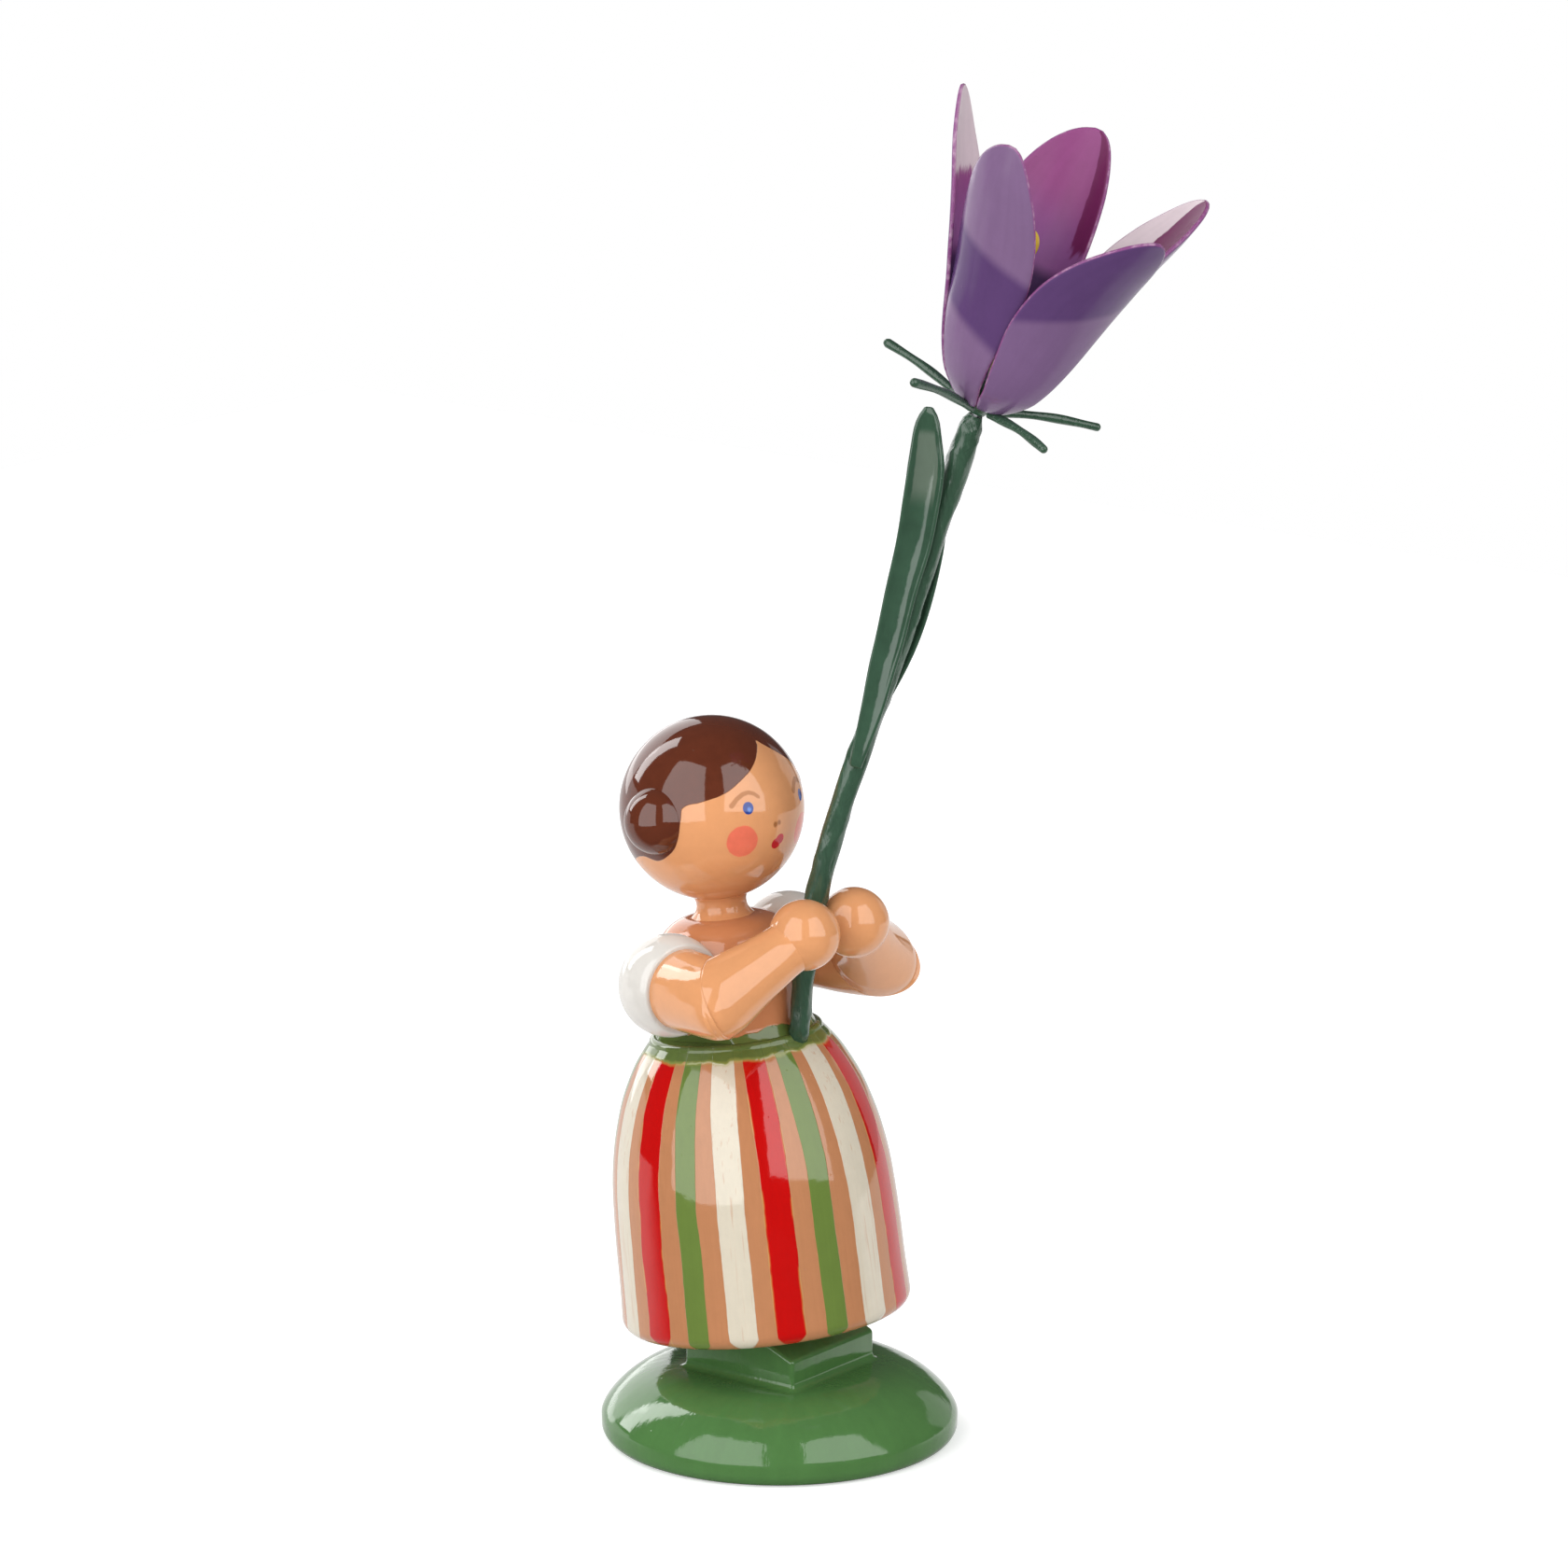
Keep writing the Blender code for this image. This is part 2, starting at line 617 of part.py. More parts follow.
def build_bodice(figure):
    form = turned_form(bodice_profile(), SEGMENTS_LARGE)
    for side in (-1.0, 1.0):
        trim_shoulder(form, side)
    mesh = finish_mesh("bodice", form, math.radians(32.0))
    bodice = add_object("bodice", mesh, bodice_lacquer(), figure)
    cutters = []
    for side, label in ((-1.0, "right"), (1.0, "left")):
        inner = SHOULDER_FLAT_OFFSET - SHOULDER_PIN_DEPTH_IN_BODICE - GLUE_GAP
        start = Vector((side * inner, -SLEEVE_FORWARD, sleeve_height()))
        end = Vector((side * (BODICE_CHEST_RADIUS + DOWEL_RADIUS), -SLEEVE_FORWARD, sleeve_height()))
        radius = SHOULDER_PIN_RADIUS + PEG_CLEARANCE
        cutters.append(bore(bodice, "bodice_pin_hole_" + label, radius, start, end))
    cutters.append(bore_for_stem(bodice, "bodice_stem_hole"))
    apply_cuts(bodice, cutters)


def trim_shoulder(form, side):
    """Planes the flat that a sleeve is glued to."""
    cut_with_plane(form, (side * SHOULDER_FLAT_OFFSET, 0.0, 0.0), (side, 0.0, 0.0))


def neck_profile():
    bottom = neck_foot_height()
    top = bottom + NECK_LENGTH
    points = [
        (0.0, bottom - NECK_PEG_LENGTH),
        (NECK_PEG_RADIUS, bottom - NECK_PEG_LENGTH),
        (NECK_PEG_RADIUS, bottom),
        (NECK_FLARE_RADIUS, bottom),
    ]
    for index in range(1, 5):
        t = index / 4
        radius = NECK_FLARE_RADIUS - (NECK_FLARE_RADIUS - NECK_RADIUS) * (1.0 - (1.0 - t) ** 2)
        points.append((radius, bottom + NECK_FLARE_HEIGHT * t))
    points += [
        (NECK_RADIUS, top),
        (NECK_PEG_RADIUS, top),
        (NECK_PEG_RADIUS, top + NECK_PEG_LENGTH),
        (0.0, top + NECK_PEG_LENGTH),
    ]
    return points


def build_neck(figure):
    turned_object("neck", neck_profile(), SEGMENTS_ARM, skin_lacquer(), figure)


# Head and buns
def neck_foot_height():
    return SKIRT_HEIGHT + BODICE_HEIGHT + 2.0 * GLUE_GAP


def head_seat_depth():
    """From the head's centre down to the flat that rests on the neck."""
    return math.sqrt(HEAD_RADIUS ** 2 - HEAD_SEAT_RADIUS ** 2)


def head_height():
    """Height of the head's centre, stacked on the neck."""
    return neck_foot_height() + NECK_LENGTH + GLUE_GAP + head_seat_depth()


def head_profile():
    seat = -head_seat_depth()
    socket = NECK_PEG_RADIUS + PEG_CLEARANCE
    roof = seat + NECK_PEG_LENGTH
    points = [(0.0, roof), (socket, roof), (socket, seat)]
    start = math.asin(seat / HEAD_RADIUS)
    points += arc_points((0.0, 0.0), HEAD_RADIUS, start, 0.5 * math.pi, 20)
    return points


def build_head(figure):
    head = turned_object("head", head_profile(), SEGMENTS_HEAD, skin_lacquer(), figure)
    head.location = (0.0, 0.0, head_height())
    head.rotation_euler = (0.0, 0.0, -HEAD_TURN)


def bun_profile():
    """Ball with a hollow seat that fits the head; heights are from the head's centre."""
    seat = HEAD_RADIUS + GLUE_GAP
    centre = HEAD_RADIUS + BUN_STANDOFF
    rim_height = (seat ** 2 + centre ** 2 - BUN_RADIUS ** 2) / (2.0 * centre)
    rim_radius = math.sqrt(seat ** 2 - rim_height ** 2)
    hollow_steps = 3
    rim_angle = math.acos(rim_height / seat)
    points = []
    for index in range(hollow_steps):
        angle = rim_angle * index / hollow_steps
        points.append((seat * math.sin(angle), seat * math.cos(angle)))
    start = math.atan2(rim_height - centre, rim_radius)
    points += arc_points((0.0, centre), BUN_RADIUS, start, 0.5 * math.pi, 8)
    return points


def build_buns(figure):
    for side, label in ((-1.0, "right"), (1.0, "left")):
        bun = turned_object("hair_bun_" + label, bun_profile(), SEGMENTS_BEAD, hair_lacquer(), figure)
        bearing = side * BUN_BEARING - HEAD_TURN
        direction = Vector((
            math.sin(bearing) * math.cos(BUN_LIFT),
            -math.cos(bearing) * math.cos(BUN_LIFT),
            math.sin(BUN_LIFT),
        ))
        bun.matrix_local = axis_frame(Vector((0.0, 0.0, head_height())), direction)


# Arms, from the shoulder to the hand
def sleeve_height():
    return SKIRT_HEIGHT + SLEEVE_RISE


def sleeve_centre(side):
    return Vector((side * (SHOULDER_FLAT_OFFSET + SLEEVE_STANDOFF), -SLEEVE_FORWARD, sleeve_height()))


def elbow_point(side):
    drop = ELBOW_DROP_RIGHT if side < 0.0 else ELBOW_DROP_LEFT
    return sleeve_centre(side) + Vector((side * ELBOW_OUT, -ELBOW_FORWARD, -drop))


def hand_centre(side):
    height = sleeve_height() + (HAND_RISE_RIGHT if side < 0.0 else HAND_RISE_LEFT)
    return Vector((side * HAND_FROM_MIDDLE, -SLEEVE_FORWARD - HAND_FORWARD, height))


def cuff_distance():
    """From the sleeve's centre to the flat that the arm comes out of."""
    return math.sqrt(SLEEVE_RADIUS ** 2 - SLEEVE_CUFF_RADIUS ** 2)


def sleeve_profile():
    cuff = cuff_distance()
    socket = ARM_PEG_RADIUS + PEG_CLEARANCE
    floor = cuff - ARM_PEG_LENGTH - GLUE_GAP
    cuff_angle = math.asin((cuff - SLEEVE_CUFF_ROUND) / SLEEVE_RADIUS)
    points = arc_points((0.0, 0.0), SLEEVE_RADIUS, -0.5 * math.pi, cuff_angle, 13)
    points += [
        (SLEEVE_CUFF_RADIUS, cuff),
        (socket, cuff),
        (socket, floor),
        (0.0, floor),
    ]
    return points


def build_sleeves(figure):
    for side, label in ((-1.0, "right"), (1.0, "left")):
        centre = sleeve_centre(side)
        frame = axis_frame(centre, (elbow_point(side) - centre).normalized())
        form = turned_form(sleeve_profile(), SEGMENTS_BEAD)
        to_figure = frame.inverted()
        glue_face = Vector((side * (SHOULDER_FLAT_OFFSET + GLUE_GAP), 0.0, 0.0))
        outward = Vector((-side, 0.0, 0.0))
        cut_with_plane(form, to_figure @ glue_face, to_figure.to_3x3() @ outward)
        mesh = finish_mesh("sleeve_" + label, form, math.radians(32.0))
        sleeve = add_object("sleeve_" + label, mesh, sleeve_lacquer(), figure)
        sleeve.matrix_local = frame
        inner = Vector((side * (SHOULDER_FLAT_OFFSET - SHOULDER_PIN_RADIUS), centre.y, centre.z))
        outer_x = SHOULDER_FLAT_OFFSET + SHOULDER_PIN_DEPTH_IN_SLEEVE + 2.0 * GLUE_GAP
        outer = Vector((side * outer_x, centre.y, centre.z))
        radius = SHOULDER_PIN_RADIUS + PEG_CLEARANCE
        hole = bore(sleeve, "sleeve_pin_hole_" + label, radius, to_figure @ inner, to_figure @ outer)
        apply_cuts(sleeve, [hole])


def build_shoulder_pins(figure):
    for side, label in ((-1.0, "right"), (1.0, "left")):
        length = SHOULDER_PIN_DEPTH_IN_BODICE + GLUE_GAP + SHOULDER_PIN_DEPTH_IN_SLEEVE
        profile = [
            (0.0, 0.0),
            (SHOULDER_PIN_RADIUS, 0.0),
            (SHOULDER_PIN_RADIUS, length),
            (0.0, length),
        ]
        pin = turned_object("shoulder_pin_" + label, profile, SEGMENTS_PEG, bare_wood(), figure)
        inner = SHOULDER_FLAT_OFFSET - SHOULDER_PIN_DEPTH_IN_BODICE
        start = Vector((side * inner, -SLEEVE_FORWARD, sleeve_height()))
        pin.matrix_local = axis_frame(start, Vector((side, 0.0, 0.0)))


def mitre_normal(side):
    """Direction across the glued mitre of the elbow, from the upper arm to the forearm."""
    upper = (elbow_point(side) - sleeve_centre(side)).normalized()
    fore = (hand_centre(side) - elbow_point(side)).normalized()
    return (upper + fore).normalized()


def build_upper_arms(figure):
    for side, label in ((-1.0, "right"), (1.0, "left")):
        centre = sleeve_centre(side)
        reach = elbow_point(side) - centre
        frame = axis_frame(centre, reach.normalized())
        cuff = cuff_distance()
        start = cuff + GLUE_GAP
        end = reach.length + 3.0 * ELBOW_RADIUS
        profile = [
            (0.0, cuff - ARM_PEG_LENGTH),
            (ARM_PEG_RADIUS, cuff - ARM_PEG_LENGTH),
            (ARM_PEG_RADIUS, start),
            (UPPER_ARM_RADIUS, start),
            (ELBOW_RADIUS, reach.length),
            (ELBOW_RADIUS, end),
            (0.0, end),
        ]
        form = turned_form(profile, SEGMENTS_ARM)
        to_arm = frame.inverted()
        normal = mitre_normal(side)
        face = elbow_point(side) - normal * 0.5 * GLUE_GAP
        cut_with_plane(form, to_arm @ face, to_arm.to_3x3() @ normal)
        name = "upper_arm_" + label
        arm = add_object(name, finish_mesh(name, form, math.radians(32.0)), skin_lacquer(), figure)
        arm.matrix_local = frame


def hand_flat_distance():
    """From the hand ball's centre to the flat that the wrist is glued to."""
    return math.sqrt(HAND_RADIUS ** 2 - WRIST_RADIUS ** 2)


def build_forearms(figure):
    for side, label in ((-1.0, "right"), (1.0, "left")):
        elbow = elbow_point(side)
        reach = hand_centre(side) - elbow
        frame = axis_frame(elbow, reach.normalized())
        wrist = reach.length - hand_flat_distance() - GLUE_GAP
        back = -2.0 * ELBOW_RADIUS
        profile = [
            (0.0, back),
            (FOREARM_BACK_RADIUS, back),
            (ELBOW_RADIUS, 0.0),
            (FOREARM_MIDDLE_RADIUS, 0.5 * wrist),
            (WRIST_RADIUS, wrist),
            (WRIST_PEG_RADIUS, wrist),
            (WRIST_PEG_RADIUS, wrist + WRIST_PEG_LENGTH),
            (0.0, wrist + WRIST_PEG_LENGTH),
        ]
        form = turned_form(profile, SEGMENTS_ARM)
        to_arm = frame.inverted()
        normal = mitre_normal(side)
        face = elbow + normal * 0.5 * GLUE_GAP
        cut_with_plane(form, to_arm @ face, to_arm.to_3x3() @ -normal)
        name = "forearm_" + label
        arm = add_object(name, finish_mesh(name, form, math.radians(32.0)), skin_lacquer(), figure)
        arm.matrix_local = frame


def hand_profile():
    """Ball with a flat and a blind hole for the wrist, which comes from below."""
    flat = -hand_flat_distance()
    socket = WRIST_PEG_RADIUS + PEG_CLEARANCE
    roof = flat + WRIST_PEG_LENGTH
    start = math.asin(flat / HAND_RADIUS)
    points = [(0.0, roof), (socket, roof), (socket, flat)]
    points += arc_points((0.0, 0.0), HAND_RADIUS, start, 0.5 * math.pi, 12)
    return points


def build_hands(figure):
    for side, label in ((-1.0, "right"), (1.0, "left")):
        hand = turned_object("hand_" + label, hand_profile(), SEGMENTS_BEAD, skin_lacquer(), figure)
        direction = (hand_centre(side) - elbow_point(side)).normalized()
        hand.matrix_local = axis_frame(hand_centre(side), direction)


# Stem and leaves
def stem_path_in_figure():
    foot = Vector((0.0, 0.0, SKIRT_HEIGHT))
    bends = [foot + Vector(point) * STEM_HEIGHT for point in STEM_BENDS]
    return smooth_path(bends, STEM_STATIONS_PER_BEND)


def stem_path():
    """Centre line of the stem in the world."""
    to_world = figure_matrix()
    return [to_world @ point for point in stem_path_in_figure()]


def path_frames(path):
    """Tangent and two steady normals at each point of a path."""
    frames = []
    side = Vector((1.0, 0.0, 0.0))
    for index in range(len(path)):
        before = path[max(index - 1, 0)]
        after = path[min(index + 1, len(path) - 1)]
        tangent = (after - before).normalized()
        side = (side - tangent * side.dot(tangent)).normalized()
        frames.append((path[index], tangent, side, tangent.cross(side)))
    return frames


def add_ring(form, frame, radius, segments):
    centre, _, side, up = frame
    ring = []
    for index in range(segments):
        angle = 2.0 * math.pi * index / segments
        ring.append(form.verts.new(centre + (side * math.cos(angle) + up * math.sin(angle)) * radius))
    return ring


def bridge(form, lower, upper):
    count = len(lower)
    for index in range(count):
        following = (index + 1) % count
        form.faces.new((lower[index], lower[following], upper[following], upper[index]))


def close_tube(form, rings):
    """Solid rod from a row of rings."""
    for lower, upper in zip(rings, rings[1:]):
        bridge(form, lower, upper)
    form.faces.new(rings[0])
    form.faces.new(rings[-1])


def stem_radius(t):
    return STEM_RADIUS_FOOT + (STEM_RADIUS_TOP - STEM_RADIUS_FOOT) * t


def build_stem_wrap():
    """Paper wrap: a tube along the bent wire, closed round the wire at both ends."""
    form = bmesh.new()
    frames = path_frames(stem_path())
    last = len(frames) - 1
    segments = SEGMENTS_PEG
    hole = STEM_WIRE_RADIUS + PEG_CLEARANCE
    outer = [add_ring(form, frame, stem_radius(i / last), segments) for i, frame in enumerate(frames)]
    inner = [add_ring(form, frame, hole, segments) for frame in frames]
    for rings in (outer, inner):
        for lower, upper in zip(rings, rings[1:]):
            bridge(form, lower, upper)
    bridge(form, outer[0], inner[0])
    bridge(form, outer[-1], inner[-1])
    mesh = finish_mesh("stem_wrap", form, math.radians(40.0))
    add_object("stem_wrap", mesh, stem_lacquer(), None)


def build_stem_wire():
    """Wire core, which stands out of the wrap into the bloom's receptacle."""
    form = bmesh.new()
    path = stem_path()
    path.append(path[-1] + bloom_axis() * STEM_WIRE_END)
    rings = [add_ring(form, frame, STEM_WIRE_RADIUS, SEGMENTS_THIN) for frame in path_frames(path)]
    close_tube(form, rings)
    mesh = finish_mesh("stem_wire", form, math.radians(40.0))
    add_object("stem_wire", mesh, steel_wire(), None)


def stem_point(share):
    """Point of the stem's centre line at a share of its height in the world."""
    path = stem_path()
    height = path[0].z + (path[-1].z - path[0].z) * share
    for lower, upper in zip(path, path[1:]):
        if height <= upper.z:
            t = (height - lower.z) / (upper.z - lower.z)
            return lower.lerp(upper, t)
    direction = (path[-1] - path[-2]).normalized()
    return path[-1] + direction * ((height - path[-1].z) / direction.z)


def plan_direction(bearing):
    return Vector((math.cos(bearing), math.sin(bearing), 0.0))


def leaf_spine(foot, tip, bearing, lift, lift_bearing, lift_curve):
    """Middle line of a leaf: at glue distance round the stem, then lifting away from it."""
    clear = STEM_RADIUS_TOP + LEAF_ROOT_GAP + 0.5 * LEAF_THICKNESS
    away = plan_direction(math.radians(lift_bearing))
    spine = []
    for row in range(LEAF_STATIONS + 1):
        t = row / LEAF_STATIONS
        side = plan_direction(math.radians(sample(bearing, t)))
        spine.append(stem_point(foot + (tip - foot) * t) + side * clear + away * lift * sample(lift_curve, t))
    return spine


def build_leaf(name, spine, facing, half_width, outline):
    """Pressed channel leaf on a middle line, with its hollow towards the facing bearing."""
    form = bmesh.new()
    hollow = plan_direction(math.radians(facing))
    rows = []
    for row, (centre, tangent, _, _) in enumerate(path_frames(spine)):
        across = tangent.cross(hollow).normalized()
        face = across.cross(tangent).normalized()
        width = half_width * sample(outline, row / LEAF_STATIONS)
        verts = []
        for column in range(LEAF_COLUMNS + 1):
            angle = (2.0 * column / LEAF_COLUMNS - 1.0) * width / LEAF_CHANNEL_RADIUS
            sideways = across * LEAF_CHANNEL_RADIUS * math.sin(angle)
            inward = face * LEAF_CHANNEL_RADIUS * (1.0 - math.cos(angle))
            verts.append(form.verts.new(centre + sideways + inward))
        rows.append(verts)
    for lower, upper in zip(rows, rows[1:]):
        for column in range(LEAF_COLUMNS):
            form.faces.new((lower[column], lower[column + 1], upper[column + 1], upper[column]))
    mesh = finish_mesh(name, form, math.radians(50.0))
    leaf = add_object(name, mesh, stem_lacquer(), None)
    thicken(leaf, LEAF_THICKNESS)


def thicken(item, thickness):
    modifier = item.modifiers.new("sheet", "SOLIDIFY")
    modifier.thickness = thickness
    modifier.offset = 0.0
    modifier.use_even_offset = True


def build_leaves():
    front = leaf_spine(
        foot=LEAF_FRONT_FOOT,
        tip=LEAF_FRONT_TIP,
        bearing=LEAF_FRONT_BEARING,
        lift=LEAF_FRONT_LIFT,
        lift_bearing=LEAF_FRONT_LIFT_BEARING,
        lift_curve=LEAF_FRONT_LIFT_CURVE,
    )
    build_leaf("leaf_front", front, LEAF_FRONT_FACING, LEAF_FRONT_HALF_WIDTH, LEAF_FRONT_OUTLINE)
    back = leaf_spine(
        foot=LEAF_BACK_FOOT,
        tip=LEAF_BACK_TIP,
        bearing=LEAF_BACK_BEARING,
        lift=LEAF_BACK_LIFT,
        lift_bearing=LEAF_BACK_LIFT_BEARING,
        lift_curve=LEAF_BACK_LIFT_CURVE,
    )
    build_leaf("leaf_back", back, LEAF_BACK_FACING, LEAF_BACK_HALF_WIDTH, LEAF_BACK_OUTLINE)


# Bloom
def bloom_axis():
    return Vector((BLOOM_LEAN_X, BLOOM_LEAN_Y, 1.0)).normalized()


def bloom_frame():
    axis = bloom_axis()
    reference = Vector((math.cos(BLOOM_TURN), math.sin(BLOOM_TURN), 0.0))
    side = (reference - axis * reference.dot(axis)).normalized()
    depth = axis.cross(side)
    matrix = Matrix((side, depth, axis)).transposed().to_4x4()
    matrix.translation = stem_path()[-1] + axis * (RECEPTACLE_DROP + GLUE_GAP)
    return matrix


def add_bloom_frame():
    frame = bpy.data.objects.new("bloom_frame", None)
    bpy.context.collection.objects.link(frame)
    frame.matrix_world = bloom_frame()
    return frame


def receptacle_profile():
    """Small cup at the top of the stem: bored for the wire below and the pistil above."""
    wire_hole = STEM_WIRE_RADIUS + PEG_CLEARANCE
    pistil_hole = PISTIL_ROD_RADIUS + PEG_CLEARANCE
    wire_roof = -RECEPTACLE_DROP + STEM_WIRE_END
    pistil_floor = RECEPTACLE_HEIGHT - PISTIL_DEPTH_IN_RECEPTACLE
    return [
        (0.0, wire_roof),
        (wire_hole, wire_roof),
        (wire_hole, -RECEPTACLE_DROP),
        (0.72 * RECEPTACLE_RADIUS, -RECEPTACLE_DROP),
        (RECEPTACLE_RADIUS, -0.45 * RECEPTACLE_DROP),
        (RECEPTACLE_RADIUS, 0.5 * RECEPTACLE_HEIGHT),
        (0.75 * RECEPTACLE_RADIUS, 0.85 * RECEPTACLE_HEIGHT),
        (0.5 * RECEPTACLE_RADIUS, RECEPTACLE_HEIGHT),
        (pistil_hole, RECEPTACLE_HEIGHT),
        (pistil_hole, pistil_floor),
        (0.0, pistil_floor),
    ]


def build_receptacle(bloom):
    turned_object("receptacle", receptacle_profile(), SEGMENTS_PEG, stem_lacquer(), bloom)


def petal_radius(t):
    """Distance of a petal's middle line from the bloom's axis."""
    return sample(PETAL_REACH_CURVE, t) * PETAL_REACH


def petal_height(t):
    """Height of a petal's middle line above the bloom's base."""
    return sample(PETAL_HEIGHT_CURVE, t) * PETAL_HEIGHT


def petal_half_width(t):
    """Half width of a petal, measured along its curved cross section."""
    return sample(PETAL_OUTLINE, t) * PETAL_HALF_WIDTH


def petal_point(t, across, petal):
    """Point of a petal's mid surface; across runs from -1 to 1 over its width."""
    azimuth = math.radians(petal["azimuth"] + petal["twist"] * t)
    opening = 1.0 + (petal["reach"] - 1.0) * t + petal["belly"] * 4.0 * t * (1.0 - t)
    radius = petal_radius(t) * opening + petal["layer"] * PETAL_LAYER * min(t / PETAL_LAYER_START, 1.0)
    height = petal_height(t) * (1.0 + (petal["rise"] - 1.0) * t)
    mix = min(max((t - PETAL_CUP_START) / (PETAL_CUP_END - PETAL_CUP_START), 0.0), 1.0)
    mix = mix * mix * (3.0 - 2.0 * mix)
    cup = radius + (PETAL_CUP_RADIUS * petal["cup"] - radius) * mix
    spread = petal["foot"] + (petal["width"] - petal["foot"]) * mix
    angle = (across * petal_half_width(t) * spread + PETAL_HALF_WIDTH * petal["skew"] * t ** 4) / cup
    sideways = cup * math.sin(angle)
    inward = cup * (1.0 - math.cos(angle))
    roll = azimuth + math.radians(petal["roll"]) * mix
    radial = Vector((math.cos(azimuth), math.sin(azimuth), 0.0))
    rolled = Vector((math.cos(roll), math.sin(roll), 0.0))
    tangential = Vector((-math.sin(roll), math.cos(roll), 0.0))
    lean = PETAL_EDGE_LIFT * mix
    inward_direction = rolled * -math.cos(lean) + Vector((0.0, 0.0, math.sin(lean)))
    return radial * radius + tangential * sideways + inward_direction * inward + Vector((0.0, 0.0, height))


def build_petals(bloom):
    """Five cupped petals; each opens, twists and stands a little differently."""
    for number, values in enumerate(PETALS, start=1):
        petal = dict(zip(PETAL_KEYS, values))
        name = "petal_" + str(number)
        form = bmesh.new()
        rows = []
        for row in range(PETAL_LENGTHWISE_STEPS + 1):
            t = 1.0 - (1.0 - row / PETAL_LENGTHWISE_STEPS) ** PETAL_TIP_CROWDING
            rows.append([
                form.verts.new(petal_point(t, 2.0 * column / PETAL_CROSSWISE_STEPS - 1.0, petal))
                for column in range(PETAL_CROSSWISE_STEPS + 1)
            ])
        for lower, upper in zip(rows, rows[1:]):
            for column in range(PETAL_CROSSWISE_STEPS):
                form.faces.new((lower[column], lower[column + 1], upper[column + 1], upper[column]))
        mesh = finish_mesh(name, form, math.radians(50.0))
        item = add_object(name, mesh, petal_lacquer(), bloom)
        thicken(item, PETAL_THICKNESS)


def build_bracts(bloom):
    """Five thin rods that stand out under the petals like a star."""
    for number, (bearing, rise, length) in enumerate(BRACTS, start=1):
        outward = plan_direction(math.radians(bearing))
        start = outward * (RECEPTACLE_RADIUS + PEG_CLEARANCE) + Vector((0.0, 0.0, BRACT_LEVEL))
        end = outward * BRACT_REACH * length + Vector((0.0, 0.0, BRACT_LEVEL + BRACT_RISE * rise))
        path = []
        for index in range(BRACT_STEPS + 1):
            t = index / BRACT_STEPS
            path.append(start.lerp(end, t) + Vector((0.0, 0.0, BRACT_SAG * math.sin(math.pi * t))))
        name = "bract_" + str(number)
        form = bmesh.new()
        frames = path_frames(path)
        rings = [add_ring(form, frame, BRACT_RADIUS, SEGMENTS_THIN) for frame in frames]
        tip, tangent, side, up = frames[-1]
        for share, length_share in ((0.8, 0.6), (0.4, 0.92)):
            moved = (tip + tangent * BRACT_RADIUS * length_share, tangent, side, up)
            rings.append(add_ring(form, moved, BRACT_RADIUS * share, SEGMENTS_THIN))
        close_tube(form, rings)
        mesh = finish_mesh(name, form, math.radians(50.0))
        add_object(name, mesh, stem_lacquer(), bloom)


def pistil_frame():
    foot = Vector((0.0, 0.0, RECEPTACLE_HEIGHT - PISTIL_DEPTH_IN_RECEPTACLE + GLUE_GAP))
    direction = Vector((-math.sin(PISTIL_LEAN), 0.0, math.cos(PISTIL_LEAN)))
    return foot, direction


def build_pistil(bloom):
    """Yellow rod with an egg-shaped tip in the middle of the bloom."""
    foot, direction = pistil_frame()
    knee = foot + Vector((0.0, 0.0, PISTIL_STRAIGHT_LENGTH))
    end = knee + direction * (PISTIL_ROD_LENGTH - PISTIL_STRAIGHT_LENGTH)
    path = smooth_path([foot, knee, knee.lerp(end, 0.5), end], 3)
    form = bmesh.new()
    rings = [add_ring(form, frame, PISTIL_ROD_RADIUS, SEGMENTS_THIN) for frame in path_frames(path)]
    close_tube(form, rings)
    mesh = finish_mesh("pistil_rod", form, math.radians(40.0))
    add_object("pistil_rod", mesh, pistil_lacquer(), bloom)
    socket = PISTIL_ROD_RADIUS + PEG_CLEARANCE
    depth = PISTIL_DEPTH_IN_TIP
    start = math.asin(-math.sqrt(1.0 - (socket / PISTIL_TIP_RADIUS) ** 2))
    profile = []
    steps = 7
    for index in range(steps + 1):
        angle = start + (0.5 * math.pi - start) * index / steps
        profile.append((PISTIL_TIP_RADIUS * math.cos(angle), PISTIL_TIP_HALF_LENGTH * math.sin(angle)))
    floor = profile[0][1]
    profile = [(0.0, floor + depth + GLUE_GAP), (socket, floor + depth + GLUE_GAP)] + profile
    tip = turned_object("pistil_tip", profile, SEGMENTS_PEG, pistil_lacquer(), bloom)
    tip.matrix_local = axis_frame(end - direction * (depth + floor), direction)


def add_figure_frame():
    frame = bpy.data.objects.new("figure_frame", None)
    bpy.context.collection.objects.link(frame)
    frame.matrix_world = figure_matrix()
    return frame


def main():
    for item in list(bpy.data.objects):
        bpy.data.objects.remove(item, do_unlink=True)
    build_base()
    build_foot_block()
    figure = add_figure_frame()
    bpy.context.view_layer.update()
    build_figure_dowel(figure)
    build_skirt(figure)
    build_bodice(figure)
    build_neck(figure)
    build_head(figure)
    build_buns(figure)
    build_sleeves(figure)
    build_shoulder_pins(figure)
    build_upper_arms(figure)
    build_forearms(figure)
    build_hands(figure)
    build_stem_wrap()
    build_stem_wire()
    build_leaves()
    bloom = add_bloom_frame()
    bpy.context.view_layer.update()
    build_receptacle(bloom)
    build_petals(bloom)
    build_bracts(bloom)
    build_pistil(bloom)


main()
